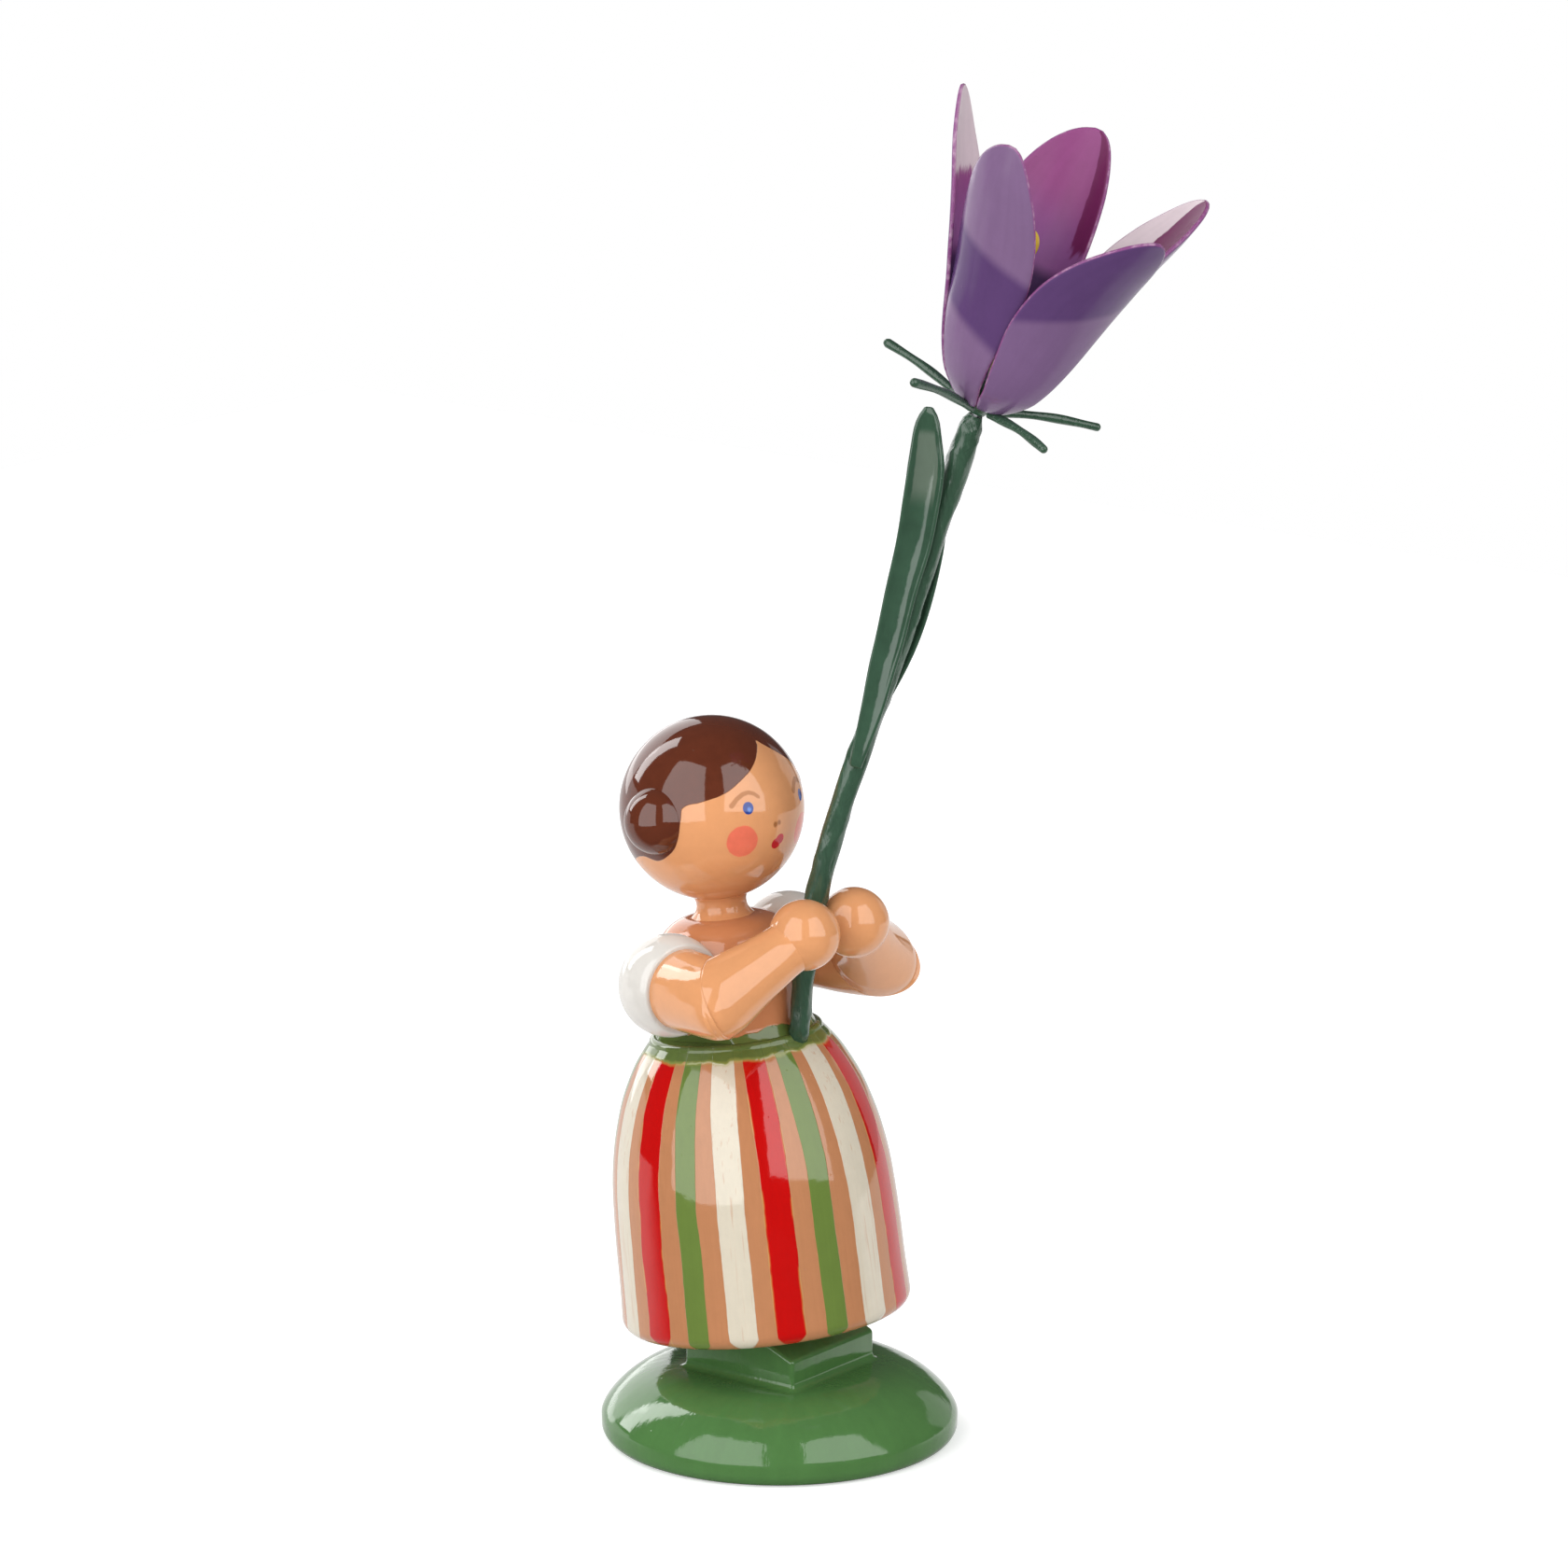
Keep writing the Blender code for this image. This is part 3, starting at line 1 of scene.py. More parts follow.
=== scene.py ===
"""Looks of the wooden figurine: refined pieces, lacquer materials, floor, light and camera.

Lengths are in millimetres until a mesh is made. The row frame has +Z up and the girl faces
-Y. Bearings on the figure are in degrees from its front towards its right hand (-X). Design
tables hold shares of the length named beside them, where no comment says otherwise.
"""
import random
from math import asin, cos, exp, pi, radians, sin, sqrt, tan

import bmesh
import bpy
import numpy as np
from mathutils import Matrix, Vector


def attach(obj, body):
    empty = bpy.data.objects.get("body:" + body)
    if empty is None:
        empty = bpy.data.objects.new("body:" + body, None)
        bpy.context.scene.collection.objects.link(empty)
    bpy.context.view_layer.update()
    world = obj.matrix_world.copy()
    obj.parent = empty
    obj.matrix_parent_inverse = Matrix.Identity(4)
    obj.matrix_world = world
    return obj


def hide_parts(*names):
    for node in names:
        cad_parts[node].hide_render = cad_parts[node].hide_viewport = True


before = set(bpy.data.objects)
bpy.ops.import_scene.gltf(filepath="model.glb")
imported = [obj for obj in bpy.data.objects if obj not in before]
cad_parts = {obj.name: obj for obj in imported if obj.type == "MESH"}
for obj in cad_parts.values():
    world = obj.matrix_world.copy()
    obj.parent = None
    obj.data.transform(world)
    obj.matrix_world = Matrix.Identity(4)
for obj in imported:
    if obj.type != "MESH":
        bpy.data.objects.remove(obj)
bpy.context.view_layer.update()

MM = 0.001
GLUE_GAP = 0.2
QUARTER_TURN = 0.5 * pi

# Base and foot block
BASE_RADIUS = 15.0
BASE_EDGE_ROUND = 1.1
BASE_RIM_HEIGHT = 2.0
BASE_SEAT_RADIUS = 8.2
BASE_SEAT_HEIGHT = 6.15
BASE_DOME_FULLNESS = 0.78
BLOCK_SIDE = 11.35
BLOCK_HEIGHT = 4.0
BLOCK_FRONT_HEIGHT = 2.35
BLOCK_FRONT_SLOPE = radians(23.0)
BLOCK_EDGE_RADIUS = 0.34
BLOCK_SINK = 0.1
BLOCK_BEAD = 0.6
BEAD_INSET = 0.3
BEAD_SINK = 0.06

# Leaning figure
LEAN_BACK = radians(7.1)
LEAN_RIGHT = radians(0.95)
FIGURE_SETBACK = 1.26
SKIRT_HEIGHT = 24.6
SKIRT_HEM_ROUND = 1.1
SKIRT_HEM_RADIUS = 12.17
SKIRT_TOP_ROUND = 0.45
SKIRT_SHOULDER_DROP = 0.25
SKIRT_TEMPLATE = (
    (0.045, 1.0), (0.163, 0.991), (0.285, 0.9869), (0.407, 0.9778), (0.528, 0.9597), (0.63, 0.9269),
    (0.711, 0.8874), (0.793, 0.8348), (0.854, 0.7806), (0.915, 0.7141), (0.959, 0.6508), (1.0, 0.5834),
)
BODICE_WAIST_RADIUS = 6.97
BODICE_WAIST_FLARE = 0.62
BODICE_CHEST_RADIUS = 6.45
BODICE_CHEST_HEIGHT = 4.8
BODICE_TOP_RADIUS = 2.4
BODICE_FULLNESS = 0.85
BODICE_HEIGHT = 9.9
SHOULDER_FLAT_OFFSET = 5.35
NECK_SEAT_HEIGHT = 9.7
NECK_OVERLAP = 0.2
NECK_TOP_BELOW_HEAD = 6.9
NECK_RADIUS = 2.1
NECK_FLARE = 0.75
NECK_LENGTH = 1.31
HEAD_RADIUS = 7.72
HEAD_SEAT_RADIUS = 2.45
HEAD_SHIFT = Vector((0.05, -0.07, 0.08))
BUN_RADIUS = 2.86
BUN_DISTANCE = 6.64
BUN_BEARINGS = {"right": 93.5, "left": -82.5}
BUN_LIFT = 2.5

# Arms
SLEEVE_STANDOFF = 2.75
SLEEVE_FORWARD = 0.2
SLEEVE_RISE = 5.7
SLEEVE_RADIUS = 4.32
SLEEVE_CUFF_RADIUS = 3.75
ELBOW_OUT = 2.5
ELBOW_FORWARD = 7.1
ELBOW_DROP = {"right": 0.4, "left": 1.6}
UPPER_ARM_RADIUS = 3.42
ELBOW_RADIUS = {"right": 3.27, "left": 3.4}
ELBOW_CORNER_CUT = 0.62
ELBOW_CORNER_REACH = 2.0
ELBOW_TUCK = 0.05
FOREARM_MIDDLE_RADIUS = 2.6
WRIST_RADIUS = 2.12
WRIST_FILLET = 0.22
HAND_FROM_MIDDLE = 3.35
HAND_FORWARD = 10.9
HAND_RISE = {"right": 3.6, "left": 3.15}
HAND_RADIUS = 2.96

# Stem, leaves and bracts
STEM_HEIGHT = 50.84
STEM_BENDS = (
    (0.001, -0.12, -0.0511), (-0.0069, -0.1328, -0.0118), (-0.0153, -0.1485, 0.0177),
    (-0.0073, -0.1592, 0.0941), (0.0058, -0.1751, 0.1793), (0.0096, -0.1958, 0.2383),
    (0.0225, -0.2384, 0.3518), (0.0495, -0.305, 0.5036), (0.0717, -0.359, 0.6234),
    (0.0917, -0.4098, 0.7414), (0.1162, -0.4728, 0.8896), (0.1281, -0.5033, 0.9629),
    (0.1359, -0.5224, 1.0),
)
# Radius of the wrap at shares of its length
STEM_GIRTH = (
    (0.0, 0.78), (0.12, 0.8), (0.3, 0.93), (0.42, 0.96), (0.6, 0.93), (0.8, 0.97), (0.87, 1.1), (0.92, 0.97),
    (0.95, 1.0), (0.975, 0.8), (1.0, 0.62),
)
# Lumps of the wrap: height, lobes around it and radians of turn along it
STEM_LUMPS = ((0.035, 3.0, 31.0), (0.02, 5.0, -67.0), (0.03, 2.0, 90.0))
LEAF_FROM_STEM = 1.17
LEAF_THICKNESS = 0.35
LEAF_CHANNEL_RADIUS = 1.8
LEAVES = {
    "front": {
        "foot": 0.471, "tip": 1.0125, "facing": 205.0, "half_width": 1.57, "lift": 3.2, "lift_bearing": 127.4,
        "bearing": ((0.0, 215.0), (0.16, 199.0), (0.32, 174.0), (1.0, 165.0)),
        "lift_curve": (
            (0.0, 0.0), (0.32, 0.0), (0.5, 0.125), (0.63, 0.187), (0.73, 0.312), (0.83, 0.469), (0.9, 0.656),
            (1.0, 1.0),
        ),
        "outline": (
            (0.0, 0.223), (0.16, 0.51), (0.32, 0.688), (0.52, 0.809), (0.66, 0.955), (0.83, 1.0),
            (0.91, 0.764), (0.97, 0.51), (1.0, 0.159),
        ),
    },
    "back": {
        "foot": 0.533, "tip": 0.8355, "facing": 197.0, "lift": 0.15, "lift_bearing": 0.0, "half_width": 1.0,
        "bearing": ((0.0, 25.0), (0.5, 8.0), (1.0, 20.0)),
        "lift_curve": ((0.0, 0.0), (0.5, 1.0), (1.0, 0.0)),
        "outline": ((0.0, 0.3), (0.35, 0.95), (0.6, 1.0), (0.85, 0.7), (1.0, 0.25)),
    },
}
RECEPTACLE_DROP = 0.75
BRACT_RADIUS = 0.36
BRACT_START = 1.3
BRACT_REACH = 10.3
BRACT_RISE = 1.75
BRACT_LEVEL = -0.3
BRACT_SAG = 0.25
# Each bract's bearing in degrees, and its rise and reach as shares
BRACTS = ((20.0, 0.8, 1.02), (88.0, 0.74, 0.9), (156.0, 0.83, 0.91), (233.0, 1.0, 1.06), (311.0, 0.05, 0.8))

# Bloom
BLOOM_LEAN = (0.226, -0.338)
BLOOM_TURN = -52.6
PETAL_THICKNESS = 0.38
PETAL_CUP_RADIUS = 4.6
PETAL_CUP_START = 0.15
PETAL_CUP_END = 0.55
PETAL_EDGE_LIFT = radians(6.0)
PETAL_REACH = 11.0
PETAL_REACH_CURVE = (
    (0.0, 0.177), (0.06, 0.25), (0.14, 0.373), (0.25, 0.482), (0.45, 0.614), (0.7, 0.814), (0.85, 0.927),
    (1.0, 1.0),
)
PETAL_HEIGHT = 22.6
PETAL_HEIGHT_CURVE = (
    (0.0, 0.0066), (0.06, 0.0332), (0.14, 0.0973), (0.25, 0.208), (0.45, 0.4248), (0.7, 0.6903), (1.0, 1.0),
)
PETAL_HALF_WIDTH = 4.55
PETAL_OUTLINE = (
    (0.0, 0.17), (0.14, 0.44), (0.25, 0.62), (0.45, 0.93), (0.62, 1.0), (0.78, 0.86), (0.88, 0.65),
    (0.95, 0.42), (0.985, 0.23), (1.0, 0.066),
)
PETAL_LAYER = 0.62
PETAL_LAYER_START = 0.14
PETAL_KEYS = ("azimuth", "twist", "roll", "reach", "rise", "layer", "width", "foot", "belly", "cup", "skew")
PETALS = (
    (-71.5, 22.0, 0.0, 0.945, 0.84, 1.0, 0.97, 1.14, -0.07, 1.6, 0.0),
    (10.0, 6.0, 0.0, 1.03, 0.96, 0.0, 1.05, 1.0, -0.05, 1.2, 0.0),
    (95.0, -8.0, -14.0, 1.0, 1.0, 0.0, 1.05, 1.0, -0.02, 1.2, -0.12),
    (157.0, 13.0, -5.0, 1.03, 1.035, 0.0, 0.91, 0.86, -0.06, 2.35, 0.0),
    (228.5, 1.0, 0.0, 1.0, 0.972, 0.0, 0.95, 0.92, 0.0, 1.15, 0.02),
)

# Zones of paint on each petal. Outside: the paler part is a painted reflection of the softboxes;
# it lies above (1) or below (-1) a level that slants over the width, and below a second level
# at the foot; the last value is its strength. Inside: (across factor, offset, level) of the pale
# tip, a painted reflection too, and (side, width) of the darker strip. The corner is the
# sideways shift of the tip in half widths.
PETAL_OUTSIDE_REFLECTION_ZONES = (
    (-1.0, 0.53, 0.09, 0.0, 0.75), (1.0, 0.62, 0.0, 0.0, 0.8), (1.0, 0.62, 0.0, 0.0, 0.8),
    (1.0, 0.6, 0.0, 0.0, 0.8), (1.0, 0.6, -0.06, 0.33, 1.0),
)
PETAL_TIP_REFLECTION_ZONES = ((0.0, -1.0, 1.0), (1.0, -0.45, 0.6), (0.0, -1.0, 1.0), (0.0, 1.0, 0.74), (0.0, -1.0, 1.0))
PETAL_DARK_STRIPS = ((0.0, 1.0), (1.0, -2.0), (-1.0, 0.6), (0.0, 1.0), (0.0, 1.0))
PETAL_CORNERS = (0.0, 0.0, -0.06, 0.0, 0.12)
PETAL_STRIP_START = 0.6

# Pistil
PISTIL_FOOT = 1.2
PISTIL_STRAIGHT = 1.2
PISTIL_LENGTH = 11.2
PISTIL_LEAN = radians(7.6)
PISTIL_RADIUS = 0.36
PISTIL_TIP_RADIUS = 0.9
PISTIL_TIP_HALF = 1.3
PISTIL_TIP_SHIFT = 0.21

# Camera and studio, in metres. The lens, the sensor and the floor's fade are in millimetres.
CAMERA_BEARING = radians(-52.6)
CAMERA_DISTANCE = 0.6638
CAMERA_HEIGHT = 0.22253
CAMERA_SIDESTEP = 0.00037
CAMERA_PITCH = radians(14.06)
CAMERA_LENS = 190.0
CAMERA_SENSOR = 36.0
CAMERA_CLIP = 0.01
FLOOR_HALF = 0.32
FLOOR_DROP = 0.00002
FLOOR_GLOW = 0.45
FLOOR_MIRRORED = 0.9
FLOOR_FADE = (-20.0, 8.0)
LIGHT_TARGET = Vector((0.0, 0.0, 0.055))

# Panels of light: centre from the target and long axis, both as parts to the right, up
# and towards the camera, then width, height and radiance
PANELS = {
    "softbox_left": ((-0.35, 0.355, 0.452), (-0.04, 1.0, 0.1), 0.62, 1.05, 2.3),
    "softbox_right": ((0.375, 0.42, 0.43), (0.04, 1.0, 0.1), 0.55, 0.94, 2.3),
    "key_strip": ((-0.5, 0.46, -0.28), (0.28, 0.44, 0.164), 0.19, 0.58, 5.0),
    "back_card": ((-0.35, -0.1, -0.8), (0.0, 1.0, 0.0), 1.9, 0.72, 0.9),
    "left_card": ((-0.38, 0.42, -0.66), (0.0, 1.0, 0.5), 0.62, 0.6, 1.7),
    "right_card": ((0.6, 0.26, -0.64), (0.0, 1.0, 0.5), 0.4, 0.5, 0.5),
}


def srgb(red, green, blue):
    """Linear colour of an 8-bit screen colour."""
    linear = []
    for channel in (red, green, blue):
        share = channel / 255.0
        linear.append(share / 12.92 if share <= 0.04045 else ((share + 0.055) / 1.055) ** 2.4)
    return (*linear, 1.0)


TAN = srgb(178, 122, 84)
RED = srgb(182, 5, 3)
STRIPE_GREEN = srgb(99, 121, 55)
WAIST_GREEN = srgb(92, 110, 54)
CREAM = srgb(204, 195, 176)
GOLD_EDGE = srgb(206, 176, 92)
BAND_EDGE = srgb(166, 164, 84)
BASE_GREEN = srgb(74, 115, 62)
SKIN = srgb(214, 150, 102)
BODICE_TAN = srgb(194, 126, 84)
HAIR = srgb(90, 42, 25)
SLEEVE_WHITE = srgb(210, 206, 199)
STEM_GREEN = srgb(52, 79, 61)
FIBRE_GREEN = srgb(98, 120, 104)
# Pale patch on the leaf below its tip: a painted reflection.
LEAF_REFLECTION = srgb(98, 112, 98)
PETAL_OUTSIDE = srgb(86, 59, 104)
# Paler zone on the petals' outsides: a painted reflection of the softboxes.
PETAL_OUTSIDE_REFLECTION = srgb(120, 93, 128)
PETAL_INSIDE = srgb(144, 72, 126)
PETAL_PURPLE = srgb(138, 84, 140)
PETAL_DEEP = srgb(66, 38, 82)
PETAL_STRIP = srgb(108, 30, 82)
# Pale tip inside the petals: a painted reflection of a softbox.
PETAL_TIP_REFLECTION = srgb(222, 208, 212)
PETAL_RIM = srgb(138, 76, 128)
# Pale pink specks along the petal rims: painted highlights.
PETAL_RIM_HIGHLIGHT = srgb(196, 166, 186)
PISTIL_YELLOW = srgb(212, 180, 60)
CHEEK = srgb(222, 96, 80)
MOUTH = srgb(176, 18, 36)
EYE_BLUE = srgb(36, 62, 138)
EYE_GLINT = srgb(86, 128, 206)
BROW = srgb(170, 104, 44)
NOSE = srgb(138, 80, 40)
BEECH = srgb(205, 165, 115)
STEEL = srgb(178, 178, 182)
WHITE = (1.0, 1.0, 1.0, 1.0)
FLOOR_PALE = (0.8, 0.8, 0.8, 1.0)
FLOOR_REFLECTED = (0.08, 0.08, 0.08, 1.0)
SKY = (0.26, 0.26, 0.27, 1.0)
SKY_REFLECTED = (0.08, 0.08, 0.083, 1.0)
LACQUER_IOR = 1.6
PETAL_IOR = 1.32

# Curves and frames
UP = Vector((0.0, 0.0, 1.0))
LEFT_SIDE = Vector((1.0, 0.0, 0.0))
BACKWARD = Vector((0.0, 1.0, 0.0))
ROW = Matrix.Identity(4)


def shares(steps):
    """Even shares from 0 to 1, both included."""
    return [index / steps for index in range(steps + 1)]


def circle(count):
    return [2.0 * pi * index / count for index in range(count)]


def sample(table, position):
    """Smooth reading of a (position, value) design table between its rows."""
    count = len(table)
    for index in range(count - 1):
        x1, y1 = table[index]
        x2, y2 = table[index + 1]
        if position <= x2:
            x0, y0 = table[max(index - 1, 0)]
            x3, y3 = table[min(index + 2, count - 1)]
            width = x2 - x1
            slope_1 = width * (y2 - y0) / (x2 - x0)
            slope_2 = width * (y3 - y1) / (x3 - x1)
            u = (position - x1) / width
            rise = 3.0 * u ** 2 - 2.0 * u ** 3
            bend = slope_1 * (u ** 3 - 2.0 * u ** 2 + u) + slope_2 * (u ** 3 - u ** 2)
            return y1 + (y2 - y1) * rise + bend
    return table[-1][1]


def arc(centre, radius, start, end, steps):
    """Points on an arc in the (radius, height) plane, both ends included."""
    angles = [start + (end - start) * share for share in shares(steps)]
    return [(centre[0] + radius * cos(a), centre[1] + radius * sin(a)) for a in angles]


def ball_profile(radius, steps):
    """Profile of a ball that closes on its axis at both ends."""
    close = 0.5 * pi / steps
    middle = arc((0.0, 0.0), radius, -QUARTER_TURN + close, QUARTER_TURN - close, steps)
    return [(0.0, -radius)] + middle + [(0.0, radius)]


def smooth_path(points, steps):
    """Catmull-Rom curve through the points, with the given steps on each span."""
    padded = [points[0] * 2.0 - points[1]] + list(points) + [points[-1] * 2.0 - points[-2]]
    curve = []
    for span in range(len(points) - 1):
        p0, p1, p2, p3 = padded[span:span + 4]
        bend = p0 * 2.0 - p1 * 5.0 + p2 * 4.0 - p3
        twist = p1 * 3.0 - p0 - p2 * 3.0 + p3
        for t in shares(steps)[:-1]:
            curve.append(0.5 * (p1 * 2.0 + (p2 - p0) * t + bend * t ** 2 + twist * t ** 3))
    return curve + [points[-1].copy()]


def path_frames(path):
    """(point, tangent, side, up) at each point of a path, without twist."""
    frames = []
    side = LEFT_SIDE
    for index in range(len(path)):
        tangent = (path[min(index + 1, len(path) - 1)] - path[max(index - 1, 0)]).normalized()
        side = (side - tangent * side.dot(tangent)).normalized()
        frames.append((path[index], tangent, side, tangent.cross(side)))
    return frames


def frame_from(origin, axis, reference):
    """Matrix with Z along the axis and X near the reference."""
    axis = axis.normalized()
    side = (reference - axis * reference.dot(axis)).normalized()
    matrix = Matrix((side, axis.cross(side), axis)).transposed().to_4x4()
    matrix.translation = origin
    return matrix


def figure_matrix():
    """Frame of the leaning figure, in millimetres."""
    upright = cos(LEAN_RIGHT)
    axis = Vector((-sin(LEAN_RIGHT), sin(LEAN_BACK) * upright, cos(LEAN_BACK) * upright))
    origin = Vector((0.0, FIGURE_SETBACK, BASE_SEAT_HEIGHT + BLOCK_HEIGHT))
    return frame_from(origin, axis, LEFT_SIDE)


FIGURE = figure_matrix()


def bearing_vector(bearing, latitude=0.0):
    """Direction in the figure frame for a bearing and a latitude in degrees."""
    turn, lift = radians(bearing), radians(latitude)
    return Vector((-sin(turn) * cos(lift), -cos(turn) * cos(lift), sin(lift)))


def plan_direction(degrees):
    """Level direction, in degrees from X towards Y."""
    return Vector((cos(radians(degrees)), sin(radians(degrees)), 0.0))


# Meshes
def add_object(name, data):
    made = bpy.data.objects.new(name, data)
    bpy.context.collection.objects.link(made)
    return made


def add_attribute(mesh, name, kind, field, values):
    attribute = mesh.attributes.new(name, kind, "POINT")
    attribute.data.foreach_set(field, np.asarray(values, dtype=np.float32).ravel())


def add_piece(node, form, matrix, material, sharp=60.0, attributes=None):
    """Piece that stands for a node. The form is (points, faces) in the piece's own frame
    and the matrix places that frame in the row, both in millimetres."""
    verts, faces = form
    own = np.array([tuple(vert) for vert in verts])
    placed = (own @ np.array(matrix.to_3x3()).T + np.array(matrix.translation)) * MM
    mesh = bpy.data.meshes.new("look_" + node)
    mesh.from_pydata(placed.tolist(), [], faces)
    for key, values in (attributes or {}).items():
        add_attribute(mesh, key, "FLOAT", "value", values)
    add_attribute(mesh, "own", "FLOAT_VECTOR", "vector", own)
    shape = bmesh.new()
    shape.from_mesh(mesh)
    bmesh.ops.recalc_face_normals(shape, faces=shape.faces)
    shape.to_mesh(mesh)
    shape.free()
    mesh.shade_smooth()
    mesh.set_sharp_from_angle(angle=radians(sharp))
    mesh.materials.append(material)
    piece = add_object("look_" + node, mesh)
    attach(piece, "root")
    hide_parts(node)


def bridge(lower, upper):
    """Quads between two closed rings of vertex numbers."""
    onward = [(index + 1) % len(lower) for index in range(len(lower))]
    return [(lower[k], lower[j], upper[j], upper[k]) for k, j in enumerate(onward)]


def lathe(profile, segments):
    """Points and faces of a turned form whose profile begins and ends on its axis."""
    verts, rings = [], []
    for radius, height in profile:
        turns = circle(segments) if radius > 0.0 else [0.0]
        ring = range(len(verts), len(verts) + len(turns))
        rings.append((list(ring) * segments)[:segments])
        verts += [(-radius * sin(a), -radius * cos(a), height) for a in turns]
    faces = [face for lower, upper in zip(rings, rings[1:]) for face in bridge(lower, upper)]
    return verts, [tuple(dict.fromkeys(face)) for face in faces]


def tube(rings, closed=False):
    """Points and faces of a tube over equal rings; a closed one joins its last to its first."""
    verts = [tuple(point) for ring in rings for point in ring]
    count = len(rings[0])
    rows = [tuple(range(first, first + count)) for first in range(0, len(verts), count)]
    onward = rows[1:] + rows[:1] if closed else rows[1:]
    faces = [face for lower, upper in zip(rows, onward) for face in bridge(lower, upper)]
    return verts, faces if closed else faces + [rows[0], rows[-1]]


def round_ring(centre, side, up, radius, count):
    return [centre + (side * cos(a) + up * sin(a)) * radius for a in circle(count)]


def sheet(rows, thickness):
    """Closed sheet with a round rim from a grid of points.

    Returns the form and, for each of its points, the side (1 to -1), the edge share (1 on
    the rim) and the place in the grid."""
    grid = np.array([[tuple(point) for point in row] for row in rows])
    height, width = grid.shape[:2]
    tiny = 1e-12
    normal = np.cross(np.gradient(grid, axis=0), np.gradient(grid, axis=1))
    normal /= np.linalg.norm(normal, axis=2, keepdims=True) + tiny
    half, count = 0.5 * thickness, height * width
    verts = [tuple(point) for sign in (half, -half) for point in (grid + normal * sign).reshape(-1, 3)]
    marks = [(i, j) for i in range(height) for j in range(width)]
    faces = []
    for i, j in marks:
        if i < height - 1 and j < width - 1:
            a, d = i * width + j, (i + 1) * width + j
            faces += [(a, a + 1, d + 1, d), (count + a, count + d, count + d + 1, count + a + 1)]
    marks += marks
    side = [1.0] * count + [-1.0] * count
    edge = [0.0] * (2 * count)
    border = [(0, j) for j in range(width)] + [(i, width - 1) for i in range(1, height)]
    border += [(height - 1, j) for j in range(width - 2, -1, -1)]
    border += [(i, 0) for i in range(height - 2, 0, -1)]
    steps = 4
    rim = []
    for k, (i, j) in enumerate(border):
        run = grid[border[(k + 1) % len(border)]] - grid[border[k - 1]]
        run /= np.linalg.norm(run) + tiny
        out = grid[i, j] - grid[min(max(i, 1), height - 2), min(max(j, 1), width - 2)]
        out -= run * np.dot(out, run)
        out -= normal[i, j] * np.dot(out, normal[i, j])
        out /= np.linalg.norm(out) + tiny
        column = [i * width + j]
        for share in shares(steps)[1:-1]:
            angle = QUARTER_TURN - pi * share
            column.append(len(verts))
            verts.append(tuple(grid[i, j] + (normal[i, j] * sin(angle) + out * cos(angle)) * half))
            side.append(sin(angle))
            edge.append(1.0)
            marks.append((i, j))
        column.append(count + i * width + j)
        edge[column[0]] = edge[column[-1]] = 0.6
        rim.append(column)
    for this, that in zip(rim, rim[1:] + rim[:1]):
        faces += [(this[k], that[k], that[k + 1], this[k + 1]) for k in range(steps)]
    return (verts, faces), side, edge, marks


# Materials
def operator(operation):
    """Method that adds a math node to a value and, for most operations, one other."""
    return lambda value, *other: value.nodes.math(operation, value, *other)


class Value:
    """Output of a shader node that can be used in sums and products."""

    __add__ = operator("ADD")
    __sub__ = operator("SUBTRACT")
    __mul__ = operator("MULTIPLY")
    __truediv__ = operator("DIVIDE")
    __abs__ = operator("ABSOLUTE")

    def __init__(self, nodes, socket):
        self.nodes = nodes
        self.socket = socket

    def __rsub__(self, other):
        return self.nodes.math("SUBTRACT", other, self)


class Nodes:
    """Short ways to add nodes to a shader's tree."""

    def __init__(self, tree):
        self.tree = tree

    def node(self, kind, inputs=(), output=0, **settings):
        """One output of a new node, whose inputs are fed by name or by number."""
        made = self.tree.nodes.new(kind)
        for key, value in settings.items():
            setattr(made, key, value)
        for key, source in dict(inputs).items():
            self.feed(made.inputs[key], source)
        return Value(self, made.outputs[output])

    def feed(self, socket, source):
        if isinstance(source, Value):
            self.tree.links.new(source.socket, socket)
        else:
            socket.default_value = source

    def math(self, operation, *values):
        return self.node("ShaderNodeMath", enumerate(values), operation=operation)

    def ray(self, name):
        return self.node("ShaderNodeLightPath", output=name)

    def mix(self, factor, first, second, blend="MIX"):
        inputs = {"Factor": factor, "A": first, "B": second}
        return self.node("ShaderNodeMix", inputs, "Result", data_type="RGBA", blend_type=blend)


